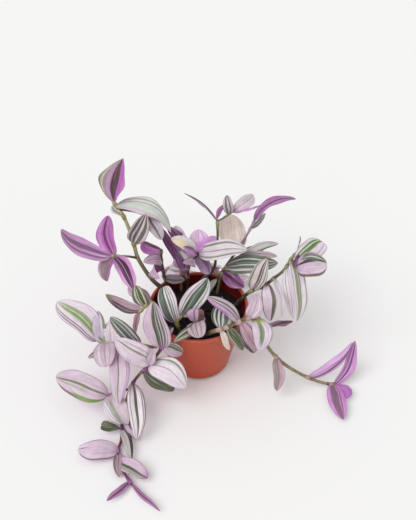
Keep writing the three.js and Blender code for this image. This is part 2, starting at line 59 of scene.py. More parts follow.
# Colours of the leaves
WHITE_LILAC: Colour = (226, 216, 226)
LILAC: Colour = (218, 200, 220)
PINK_LILAC: Colour = (214, 188, 212)
MAUVE_PINK: Colour = (184, 148, 174)
GREY_GREEN: Colour = (108, 130, 108)
SAGE: Colour = (146, 160, 138)
DARK_GREEN: Colour = (60, 86, 60)
OLIVE: Colour = (100, 104, 72)
SLATE: Colour = (84, 88, 82)
MAGENTA: Colour = (202, 124, 204)
BRIGHT_MAGENTA: Colour = (218, 146, 224)
PLUM: Colour = (126, 62, 122)
VIOLET: Colour = (172, 114, 162)


@dataclass(frozen=True)
class Band:
    """One lengthwise stripe of a leaf.

    Attributes:
        at: The stripe's centre, from -1 at one edge of the blade to 1 at the other.
        half: Half of its width, on the same scale.
        tint: Its colour.
        start: Where it begins, from 0 at the stem to 1 at the tip.
        stop: Where it ends, on the same scale.
    """

    at: float
    half: float
    tint: Colour
    start: float = -0.5
    stop: float = 1.5


@dataclass(frozen=True)
class Look:
    """The colours of one kind of leaf.

    Attributes:
        ground: The colour of the upper side.
        margin: The colour of its thin edge.
        bands: Its stripes, at most four, later ones over earlier ones.
        under: The colour of the underside.
        shade: The colour that the stripes show as on the underside.
    """

    ground: Colour
    margin: Colour
    bands: tuple[Band, ...] = ()
    under: Colour = MAGENTA
    shade: Colour = PLUM


class Mark(Enum):
    """The kinds of marking that the plant's leaves have, each with its look."""

    FOLDED_TOP = Look((150, 146, 138), (112, 120, 104), (
        Band(-0.5, 0.13, (186, 150, 186)), Band(-0.2, 0.2, (84, 56, 68)),
        Band(0.56, 0.56, (196, 112, 200)),
    ), BRIGHT_MAGENTA, (122, 50, 120))
    MINT = Look((224, 224, 225), (150, 156, 146), (
        Band(-0.6, 0.07, SAGE), Band(-0.22, 0.05, SAGE), Band(0.3, 0.25, (208, 222, 206)),
        Band(0.8, 0.2, (213, 194, 206)),
    ))
    GREY_STRIPED = Look((206, 188, 198), (120, 120, 108), (
        Band(-0.6, 0.17, (76, 84, 66)), Band(-0.1, 0.15, (72, 80, 62)),
        Band(0.5, 0.2, (84, 90, 72)),
    ))
    GREY_SIDED = Look((190, 164, 180), (126, 108, 112), (
        Band(0.36, 0.56, (152, 144, 140)), Band(0.1, 0.05, (112, 102, 102)),
        Band(0.5, 0.04, (118, 108, 108)),
    ))
    DUSKY = Look((172, 140, 156), (104, 92, 88), (
        Band(0.0, 0.08, (124, 96, 118)), Band(0.75, 0.2, (112, 104, 90)),
    ))
    LILAC_PINK = Look((224, 190, 222), (186, 132, 192), (
        Band(0.0, 0.05, (190, 156, 188)), Band(0.55, 0.12, (206, 160, 212)),
        Band(-0.5, 0.04, (198, 168, 192)),
    ))
    OLIVE_LINED = Look((201, 188, 198), (142, 138, 142), (Band(0.15, 0.16, (92, 100, 82)),))
    MAGENTA_BACK = Look(LILAC, PINK_LILAC, (Band(0.05, 0.17, GREY_GREEN),), MAGENTA, PLUM)
    MAGENTA_GREY_BACK = Look(LILAC, PINK_LILAC, (
        Band(-0.1, 0.25, GREY_GREEN), Band(0.5, 0.1, GREY_GREEN),
    ), (214, 154, 216), (134, 100, 130))
    RICH_BACK = Look(LILAC, (170, 96, 168), (
        Band(0.0, 0.16, GREY_GREEN), Band(-0.5, 0.05, GREY_GREEN),
    ), (190, 98, 190), (104, 34, 92))
    LILAC_BACK = Look(LILAC, (150, 122, 130), (
        Band(-0.52, 0.16, GREY_GREEN), Band(-0.1, 0.06, GREY_GREEN, 0.5),
        Band(-0.28, 0.04, GREY_GREEN, 0.6),
    ), (224, 172, 232), (98, 62, 92))
    GREY_MIDDLE_BACK = Look(LILAC, (176, 110, 170), (
        Band(-0.12, 0.4, GREY_GREEN), Band(0.5, 0.06, GREY_GREEN),
    ), (196, 120, 194), (124, 98, 114))
    TWIN_BACK = Look(LILAC, (164, 110, 160), (
        Band(-0.12, 0.15, GREY_GREEN), Band(0.34, 0.05, GREY_GREEN), Band(0.6, 0.05, GREY_GREEN),
    ), (202, 134, 208), (94, 58, 90))
    DEEP_MAGENTA_BACK = Look(LILAC, (150, 76, 156), (
        Band(-0.2, 0.16, GREY_GREEN, -0.5, 0.6),
    ), (184, 98, 194), (126, 48, 122))
    DARK_STRIPED_BACK = Look(LILAC, PINK_LILAC, (
        Band(-0.22, 0.27, DARK_GREEN), Band(0.3, 0.19, DARK_GREEN),
    ), (218, 138, 214), (44, 10, 32))
    OLIVE_BACK = Look(LILAC, PINK_LILAC, (Band(-0.35, 0.4, OLIVE),), (204, 138, 200), (134, 122, 108))
    CURLED_BACK = Look(LILAC, PINK_LILAC, (
        Band(-0.55, 0.3, OLIVE),
    ), (196, 108, 200), (88, 24, 48))
    DEEP_LINED_BACK = Look(LILAC, MAUVE_PINK, (), (112, 56, 110), (172, 136, 170))
    MAROON_BACK = Look(LILAC, (96, 40, 84), (
        Band(0.0, 0.25, GREY_GREEN),
    ), (136, 62, 128), (60, 22, 52))
    DEEP_BACK = Look(LILAC, (110, 60, 92), (Band(0.0, 0.035, SAGE),), (74, 18, 54), (116, 50, 96))
    GREEN_BACK = Look(LILAC, SAGE, (), (118, 126, 100), (92, 100, 78))
    PLUM_BACK = Look(LILAC, (140, 96, 136), (
        Band(0.0, 0.22, GREY_GREEN),
    ), (118, 54, 116), (92, 44, 92))
    VIOLET_BACK = Look(LILAC, PINK_LILAC, (Band(0.0, 0.25, GREY_GREEN),), VIOLET, (110, 58, 104))
    GREY_BACK = Look(LILAC, SAGE, (Band(0.1, 0.4, OLIVE),), (128, 98, 118), (84, 62, 78))
    GREY_VIOLET_BACK = Look(LILAC, (120, 84, 112), (
        Band(0.4, 0.3, OLIVE),
    ), (168, 136, 176), (122, 88, 118))
    MAUVE = Look((204, 170, 196), (140, 130, 128), (
        Band(0.0, 0.07, (146, 112, 140)), Band(0.8, 0.14, (136, 132, 112)),
        Band(-0.45, 0.06, (168, 128, 160)),
    ), VIOLET)
    GREY_MAUVE = Look((138, 120, 130), SLATE, (Band(0.3, 0.25, (82, 84, 76)),))
    DARK_SIDED = Look((178, 148, 166), (64, 56, 54), (
        Band(-0.6, 0.46, (30, 22, 24)), Band(-0.54, 0.15, (128, 108, 114)),
        Band(0.0, 1.2, (142, 136, 116), 0.84),
    ))
    MAUVE_DARK_EDGED = Look((188, 154, 168), (96, 70, 84), (
        Band(0.8, 0.24, (58, 46, 50)), Band(-0.1, 0.05, (150, 112, 128)),
        Band(-0.9, 0.12, (140, 100, 124)),
    ))
    BROWN_PINK = Look((164, 124, 134), (110, 86, 84), (Band(0.0, 0.22, (112, 84, 84)),))
    CREAM = Look((238, 222, 190), (224, 212, 220), (
        Band(0.6, 0.3, (225, 214, 218)), Band(-0.3, 0.14, (150, 84, 162), -0.5, 0.35),
    ))
    BEIGE = Look((222, 210, 198), (210, 198, 188), (Band(0.0, 0.04, (206, 192, 182)),), (206, 190, 184))
    GREEN_EDGED = Look(WHITE_LILAC, (100, 118, 96), (
        Band(-0.85, 0.17, (92, 112, 86)), Band(0.1, 0.05, (150, 150, 146)),
    ))
    GREEN_RIGHT = Look(LILAC, (120, 136, 104), (
        Band(0.74, 0.18, (104, 134, 76)), Band(0.05, 0.05, (150, 148, 140)),
    ))
    PINK = Look((200, 180, 194), (150, 118, 144), (
        Band(0.0, 0.045, (160, 132, 154)), Band(-0.5, 0.05, (180, 152, 176)),
        Band(0.5, 0.1, (222, 206, 220)),
    ))
    ROSE = Look((216, 194, 214), (130, 116, 126), (
        Band(-0.92, 0.09, (92, 88, 92)), Band(0.35, 0.1, (96, 84, 80), 0.86, 1.0),
        Band(-0.25, 0.05, (196, 164, 190), -0.5, 0.6),
    ))
    PALE = Look((230, 220, 226), (190, 178, 188), (
        Band(0.0, 0.045, (160, 150, 158)), Band(0.5, 0.04, (196, 180, 192)),
    ))
    BUD_LEAF = Look((200, 184, 190), (140, 114, 126), (
        Band(0.0, 0.05, (120, 104, 112)), Band(-0.5, 0.1, (164, 138, 154)),
        Band(0.5, 0.07, (140, 122, 130)),
    ))
    GREY_PALE = Look((206, 202, 200), (110, 118, 100), (
        Band(-0.5, 0.06, (128, 136, 120)), Band(0.75, 0.2, (110, 118, 100)),
    ))
    PALE_LINED = Look((242, 234, 240), (128, 132, 120), (
        Band(-0.4, 0.05, (128, 136, 120)), Band(0.34, 0.06, (128, 136, 120)),
    ))
    PALE_MIDLINED = Look((210, 190, 206), (150, 130, 146), (
        Band(0.1, 0.065, (104, 112, 94)), Band(-0.7, 0.05, (160, 152, 156)),
        Band(-0.95, 0.2, (186, 152, 186)),
    ))
    PALE_TURNED = Look((192, 176, 187), (104, 98, 98), (
        Band(0.4, 0.12, (84, 80, 80)), Band(-0.05, 0.09, (106, 98, 102)),
        Band(-0.8, 0.22, (188, 112, 192), 0.3, 0.95),
    ))
    THREE_LINED = Look((220, 208, 216), (196, 186, 192), (
        Band(-0.64, 0.09, (110, 126, 104)), Band(0.0, 0.055, (130, 138, 124)),
        Band(0.66, 0.09, (116, 132, 108)),
    ))
    MAGENTA_EDGED = Look((206, 150, 206), BRIGHT_MAGENTA, (), (196, 104, 196), PLUM)
    CURLED_GREY = Look((199, 190, 194), (120, 110, 118), (
        Band(-0.4, 0.2, (96, 84, 92)), Band(0.35, 0.16, (110, 102, 108)),
    ))
    DIM_STRIPED = Look((80, 92, 78), (124, 128, 120), (
        Band(-0.5, 0.07, (206, 206, 204)), Band(0.08, 0.055, (180, 182, 178)),
        Band(0.58, 0.1, (196, 192, 194)),
    ))
    DARK_STRIPED = Look((92, 110, 92), (136, 144, 132), (
        Band(-0.5, 0.075, (220, 222, 218)), Band(0.08, 0.065, (206, 210, 204)),
        Band(0.58, 0.11, (214, 208, 210)),
    ))
    DARK_GREEN = Look((74, 88, 58), (84, 100, 76), (Band(0.0, 0.05, (98, 120, 82)),))
    DARK_RIBBED = Look((208, 184, 206), (140, 130, 136), (
        Band(-0.6, 0.32, (72, 88, 68), 0.3), Band(-0.3, 0.1, (66, 50, 62), -0.5, 0.6),
        Band(-0.66, 0.05, (196, 204, 192), 0.5), Band(0.86, 0.12, (92, 88, 76)),
    ))
    DARK_GREEN_SIDED = Look((234, 224, 228), (190, 166, 182), (
        Band(-0.52, 0.35, (46, 72, 52)), Band(0.08, 0.09, (70, 90, 72)),
        Band(0.38, 0.07, (104, 118, 106)), Band(0.7, 0.05, (140, 144, 138)),
    ))
    GREEN_BROAD = Look((234, 223, 230), (190, 172, 184), (
        Band(0.02, 0.42, (52, 80, 58)), Band(0.62, 0.06, (108, 116, 104)),
        Band(-0.6, 0.045, (132, 132, 128)), Band(-0.06, 0.03, (196, 206, 192), 0.1, 0.9),
    ))
    GREEN_HEART = Look(LILAC, (206, 178, 206), (
        Band(0.12, 0.24, (104, 136, 84), 0.02, 0.85), Band(-0.9, 0.1, (132, 142, 118)),
        Band(0.0, 1.2, (188, 206, 112), -0.5, 0.15), Band(-0.5, 0.04, (180, 178, 182)),
    ))
    GREEN_HEART_WIDE = Look((230, 218, 230), (186, 160, 178), (
        Band(0.02, 0.3, (128, 154, 96), 0.16, 0.95), Band(-0.62, 0.05, (134, 128, 130)),
        Band(-0.8, 0.05, (124, 108, 118)), Band(0.0, 0.05, (196, 208, 178), 0.2, 0.9),
    ))
    GREEN_SHADED = Look((206, 186, 202), (122, 130, 112), (
        Band(-0.42, 0.32, (72, 102, 50)), Band(-0.5, 0.045, (200, 204, 192)),
    ))
    GREEN_STRIPED = Look((228, 210, 228), (140, 152, 130), (
        Band(-0.42, 0.3, (90, 128, 56)), Band(-0.5, 0.045, (222, 226, 214)),
        Band(0.5, 0.06, (176, 178, 172)),
    ))
    GREEN_LINED = Look((234, 222, 232), (202, 196, 200), (
        Band(0.14, 0.36, (126, 140, 104)), Band(0.04, 0.035, (190, 196, 176)),
        Band(-0.88, 0.1, (140, 144, 122)), Band(0.78, 0.05, (150, 148, 146)),
    ))
    GREEN_LOW = Look((208, 184, 204), (150, 120, 146), (
        Band(0.54, 0.28, (138, 146, 124)), Band(0.22, 0.14, (48, 58, 44)),
        Band(0.6, 0.05, (184, 184, 172)),
        Band(0.0, 1.2, (160, 104, 152), 0.93),
    ))
    FAN_STRIPED = Look((60, 76, 54), (92, 102, 84), (
        Band(-0.72, 0.08, (214, 216, 212)), Band(-0.36, 0.1, (220, 220, 218)),
        Band(0.0, 0.09, (218, 218, 216)), Band(0.7, 0.17, (184, 188, 180)),
    ))
    SILVER_STRIPED = Look((206, 182, 200), (176, 144, 172), (
        Band(-0.16, 0.16, (60, 74, 42)), Band(0.16, 0.1, (68, 84, 60)),
        Band(0.46, 0.11, (84, 96, 80)), Band(0.72, 0.05, (132, 130, 128)),
    ))
    WHITE_DARK_LINED = Look((216, 202, 203), (106, 114, 100), (
        Band(0.06, 0.11, (44, 44, 42)), Band(0.34, 0.08, (66, 68, 64)),
        Band(-0.74, 0.11, (108, 122, 106)), Band(0.74, 0.08, (130, 138, 128)),
    ))
    OLIVE_STRIPED = Look((92, 100, 70), (160, 152, 144), (
        Band(-0.5, 0.1, (218, 212, 206)), Band(-0.14, 0.05, (206, 204, 194)),
        Band(0.12, 0.17, (68, 94, 34)), Band(0.56, 0.12, (214, 200, 202)),
    ))
    OLIVE_GREEN = Look((78, 90, 54), (190, 182, 172), (Band(0.7, 0.08, (188, 186, 170)),))
    OLIVE_SIDED = Look((236, 222, 234), (140, 130, 132), (
        Band(-0.66, 0.26, (88, 90, 64)), Band(0.9, 0.08, (110, 106, 104)),
    ))
    OLIVE_RIBBED = Look((242, 232, 238), (132, 118, 120), (
        Band(-0.06, 0.16, (66, 70, 58)), Band(0.62, 0.05, (150, 138, 144)),
        Band(-0.72, 0.05, (120, 108, 112)), Band(-0.9, 0.06, (120, 108, 112)),
    ))
    OLIVE_MIDLINED = Look((210, 192, 208), (150, 132, 142), (
        Band(-0.02, 0.1, (112, 116, 82)), Band(-0.88, 0.18, (112, 150, 62), -0.5, 0.62),
        Band(-0.3, 0.09, (160, 166, 156), 0.3), Band(-0.9, 0.09, (110, 102, 112), 0.55),
    ))
    PALE_GREY_STRIPED = Look((230, 212, 226), (186, 160, 182), (
        Band(0.14, 0.09, (132, 136, 116)), Band(0.55, 0.03, (180, 168, 176)),
    ))
    PALE_GREEN_ARC = Look((232, 218, 230), (196, 176, 192), (
        Band(0.04, 0.03, (132, 134, 124)), Band(-0.66, 0.09, (120, 138, 100)),
        Band(-0.5, 0.03, (206, 206, 200)),
    ))
    GREY_DARK_EDGED = Look((208, 204, 204), (80, 78, 62), (Band(-0.66, 0.34, (30, 28, 16)),))
    GREY_GREEN_EDGED = Look((214, 196, 208), (140, 148, 132), (
        Band(0.66, 0.24, (140, 156, 136), 0.16), Band(0.36, 0.03, (190, 190, 182)),
    ))
    GREY_PINK = Look((194, 178, 187), (150, 144, 146), (
        Band(0.2, 0.1, (116, 118, 112)), Band(-0.4, 0.08, (128, 132, 124)),
    ))
    BUD = Look((188, 156, 182), (130, 92, 112), (
        Band(-0.2, 0.07, (118, 84, 120)), Band(0.62, 0.36, (92, 56, 44)),
    ))


class Skin(Enum):
    """The colours of a stem: at its root, at its tip, in the rings over its nodes, and at the foot
    and the rim of its sheaths.
    """

    OLIVE = ((84, 76, 52), (150, 154, 92), (120, 70, 70), (150, 152, 90), (172, 168, 116))
    DARK_FOOTED = ((58, 38, 40), (228, 228, 158), (110, 56, 66), (138, 136, 84), (170, 166, 118))
    SLATE_FOOTED = ((56, 50, 44), (150, 162, 96), (92, 60, 66), (128, 136, 84), (150, 152, 110))
    BROWN = ((64, 46, 38), (92, 70, 58), (84, 40, 52), (92, 76, 58), (128, 96, 100))
    GREEN = ((70, 82, 48), (84, 104, 62), (96, 60, 60), (104, 120, 72), (150, 150, 108))
    PINK = ((112, 96, 62), (160, 150, 112), (116, 52, 68), (170, 142, 122), (200, 172, 164))
    MAUVE = ((84, 76, 52), (178, 152, 172), (118, 70, 92), (170, 150, 160), (192, 172, 192))
    MAROON = ((96, 70, 60), (112, 34, 70), (84, 26, 62), (112, 36, 106), (166, 104, 162))


# Directions that the upper side of a leaf looks in
UP: Point = (0, 0, 1)
FRONT_UP: Point = (0, -1, 1)
FRONT_HIGH: Point = (0, -1, 2)
FRONT: Point = (0, -2, 1)
FRONT_LEFT: Point = (-1, -2, 1)
LEFT_UP: Point = (-1, -2, 2)
RIGHT_UP: Point = (1, -2, 2)
BACK_DOWN: Point = (0, 1, -1)
BACK_HIGH: Point = (0, 1, 2)

STRIPES = 4
NO_BAND = Band(0.0, 0.0, LILAC)

# How far the seed of each shoot, and of each leaf of a shoot, lies from the one before
FIRST_SEED = 0.11
SHOOT_SEED_STEP = 0.37
LEAF_SEED_STEP = 0.618034


def linear(colour: Colour) -> tuple[float, float, float, float]:
    """Turn a colour as the eye sees it into the light values that a material takes.

    Args:
        colour: Red, green and blue from 0 to 255.

    Returns:
        Red, green, blue and alpha from 0 to 1.
    """
    share = np.array(colour) / 255.0
    value = np.where(share <= 0.04045, share / 12.92, ((share + 0.055) / 1.055) ** 2.4)
    return (*(float(v) for v in value), 1.0)


def unit(vectors: np.ndarray) -> np.ndarray:
    """Scale vectors to length 1, along the last axis."""
    return vectors / np.maximum(np.linalg.norm(vectors, axis=-1, keepdims=True), 1e-12)


def along_path(points: np.ndarray, at: np.ndarray) -> np.ndarray:
    """Find places on the smooth curve through a list of points.

    Each span between two points is the cubic that also heeds the points before and after it,
    0.5 (2b + (c - a) t + (2a - 5b + 4c - d) t^2 + (3b - a - 3c + d) t^3).

    Args:
        points: The points, one a row.
        at: Places, counted in points from the first one.

    Returns:
        One point a row for each place.
    """
    padded = np.vstack([2 * points[0] - points[1], points, 2 * points[-1] - points[-2]])
    span = np.minimum(np.floor(at).astype(int), len(points) - 2)
    a, b, c, d = (padded[span + i] for i in range(4))
    t = (at - span)[:, None]
    square = (2 * a - 5 * b + 4 * c - d) * t**2
    cube = (3 * b - a - 3 * c + d) * t**3
    return 0.5 * (2 * b + (c - a) * t + square + cube)


def path_frames(path: np.ndarray) -> tuple[np.ndarray, np.ndarray, np.ndarray]:
    """Find the direction of a path at each of its points, and two directions square to it.

    The first square direction is a fixed reference made square to the path, so the frames turn
    with the path and don't twist round it.

    Args:
        path: The points of the path, one a row.

    Returns:
        The directions along, across and square to both, one a row.
    """
    along = unit(np.gradient(path, axis=0))
    steep = abs(unit(path[-1] - path[0])[1]) > 0.9
    reference = np.array([1.0, 0.0, 0.0]) if steep else np.array([0.0, 1.0, 0.0])
    across = unit(reference - along * (along @ reference)[:, None])
    return along, across, np.cross(along, across)


@dataclass
class Skinned:
    """A mesh in the making: points, faces, each face's finish and values carried by points."""

    points: np.ndarray
    faces: list[list[int]]
    finish: list[int]
    values: dict[str, np.ndarray] = field(default_factory=dict)


def loft(rings: np.ndarray, start: np.ndarray, end: np.ndarray,
         finish: np.ndarray | None = None) -> Skinned:
    """Join rings of points into a closed skin.

    Point j of ring i is joined to point j + 1 of the same ring and to point j of ring i + 1 by a
    four-sided face. A fan of triangles closes each end.

    Args:
        rings: Points by ring, by place round the ring, by axis.
        start: The point that closes the first ring.
        end: The point that closes the last ring.
        finish: The finish of each column of faces round the ring, all 0 if left out.

    Returns:
        The skin.
    """
    count, around = rings.shape[:2]
    ring = np.arange(around)
    after = (ring + 1) % around
    base = (np.arange(count - 1) * around)[:, None]
    quads = np.stack([base + ring, base + after, base + after + around, base + ring + around], axis=-1)
    first = np.full(around, count * around)
    top = (count - 1) * around
    start_fan = np.stack([first, after, ring], axis=-1)
    end_fan = np.stack([first + 1, top + ring, top + after], axis=-1)
    faces = quads.reshape(-1, 4).tolist() + start_fan.tolist() + end_fan.tolist()
    points = np.vstack([rings.reshape(-1, 3), start, end])
    columns = np.zeros(around, int) if finish is None else finish
    return Skinned(points, faces, np.tile(columns, count + 1).tolist())


def joined(parts: list[Skinned]) -> Skinned:
    """Put several skins into one, with their values side by side.

    Args:
        parts: The skins, which all carry values of the same names.

    Returns:
        One skin, whose faces count on from one part's points to the next's.
    """
    offsets = np.cumsum([0] + [len(part.points) for part in parts]).tolist()
    faces = [[i + shift for i in face] for part, shift in zip(parts, offsets) for face in part.faces]
    finish = [index for part in parts for index in part.finish]
    names = parts[0].values.keys()
    values = {name: np.vstack([part.values[name] for part in parts]) for name in names}
    return Skinned(np.vstack([part.points for part in parts]), faces, finish, values)


def carried(skin: Skinned, name: str, value: tuple[float, ...]) -> None:
    """Give every point of a skin the same value under a name."""
    skin.values[name] = np.tile(np.array(value, float), (len(skin.points), 1))


def make_object(name: str, skin: Skinned, materials: list[bpy.types.Material]) -> bpy.types.Object:
    """Make a smooth-shaded object from a skin in millimetres.

    Args:
        name: The object's name.
        skin: The points, faces, finishes and carried values.
        materials: The materials that the finishes count.

    Returns:
        The object, at the origin, linked to the scene.
    """
    mesh = bpy.data.meshes.new(name)
    mesh.from_pydata((skin.points * MM).tolist(), [], skin.faces)
    for material in materials:
        mesh.materials.append(material)
    mesh.polygons.foreach_set("material_index", skin.finish)
    mesh.polygons.foreach_set("use_smooth", [True] * len(skin.faces))
    for title, value in skin.values.items():
        if value.shape[1] == 4:
            layer = mesh.attributes.new(title, "FLOAT_COLOR", "POINT")
            layer.data.foreach_set("color", value.astype(np.float32).ravel())
        else:
            layer = mesh.attributes.new(title, "FLOAT_VECTOR", "POINT")
            layer.data.foreach_set("vector", value.astype(np.float32).ravel())
    mesh.update()
    made = bpy.data.objects.new(name, mesh)
    bpy.context.scene.collection.objects.link(made)
    return made


def dress(made: bpy.types.Object, slot: str, *nodes: str) -> None:
    """Fix a piece to the root body and hide the plain solids that it stands for.

    Args:
        made: The piece.
        slot: The name of a material slot; not used.
        nodes: The plain solids that it stands for, none for a piece that is only added.
    """
    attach(made, BODY)
    if nodes:
        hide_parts(*nodes)
    LOG.info("%s: %d faces", made.name, len(made.data.polygons))


class Graph:
    """A material's nodes, added one by one and linked as they are made."""

    def __init__(self, name: str) -> None:
        """Start a new material with one Principled shader.

        Args:
            name: The material's name.
        """
        self.material = bpy.data.materials.new(name)
        self.material.use_nodes = True
        self.tree = self.material.node_tree
        self.shader = next(n for n in self.tree.nodes if n.type == "BSDF_PRINCIPLED")

    def feed(self, socket: Socket, value: object) -> None:
        """Link a socket to another, or set its value.

        Args:
            socket: The input.
            value: The output to link to it, or a constant.
        """
        if isinstance(value, bpy.types.NodeSocket):
            self.tree.links.new(value, socket)
        else:
            socket.default_value = value

    def node(self, kind: str, inputs: dict[int | str, object], **settings: object) -> bpy.types.Node:
        """Add a node.

        Args:
            kind: The node's type, without the words ShaderNode.
            inputs: A value or a socket to link for each named or counted input.
            settings: The node's own properties.

        Returns:
            The node.
        """
        made = self.tree.nodes.new("ShaderNode" + kind)
        for key, value in settings.items():
            setattr(made, key, value)
        for key, value in inputs.items():
            self.feed(made.inputs[key], value)
        return made

    def math(self, operation: str, a: object, b: object = 0.0) -> Socket:
        """Work out one sum."""
        return self.node("Math", {0: a, 1: b}, operation=operation).outputs[0]

    def step(self, value: object, low: object, high: object) -> Socket:
        """Rise smoothly from 0 to 1 as a value goes from low to high.

        Args:
            value: The value.
            low: Where the rise starts.
            high: Where it ends.

        Returns:
            The share risen.
        """
        made = self.node("MapRange", {"Value": value, "From Min": low, "From Max": high},
                         interpolation_type="SMOOTHSTEP")
        return made.outputs["Result"]

    def mix(self, share: object, a: object, b: object) -> Socket:
        """Mix two colours."""
        made = self.node("Mix", {0: share, 6: a, 7: b}, data_type="RGBA")
        return made.outputs[2]

    def carried(self, name: str) -> bpy.types.Node:
        """Read a value that the points carry."""
        return self.node("Attribute", {}, attribute_name=name)

    def parts(self, vector: Socket) -> list[Socket]:
        """Split a vector into its three numbers."""
        return list(self.node("SeparateXYZ", {0: vector}).outputs)

    def place(self, x: object, y: object, z: object) -> Socket:
        """Join three numbers into a vector."""
        return self.node("CombineXYZ", {0: x, 1: y, 2: z}).outputs[0]

    def noise(self, vector: Socket, scale: float, detail: float = 2.0) -> Socket:
        """Read soft noise, from about 0.2 to 0.8."""
        inputs = {"Vector": vector, "Scale": scale, "Detail": detail, "Roughness": 0.5}
        return self.node("TexNoise", inputs).outputs[0]

    def object_place(self) -> Socket:
        """Read the place in the object's own space, in metres."""
        return self.node("TexCoord", {}).outputs["Object"]

    def relief(self, height: Socket, depth_mm: float) -> None:
        """Raise the surface by a height, to a depth in millimetres."""
        made = self.node("Bump", {"Strength": 1.0, "Distance": depth_mm * MM, "Height": height})
        self.feed(self.shader.inputs["Normal"], made.outputs[0])

    def finish(self, colour: Socket, roughness: float, specular: float) -> None:
        """Set the shader's colour and its constant gloss.

        Args:
            colour: The surface colour.
            roughness: The width of the highlights.
            specular: The strength of the highlights.
        """
        self.feed(self.shader.inputs["Base Color"], colour)
        self.shader.inputs["Roughness"].default_value = roughness
        self.shader.inputs["Specular IOR Level"].default_value = specular


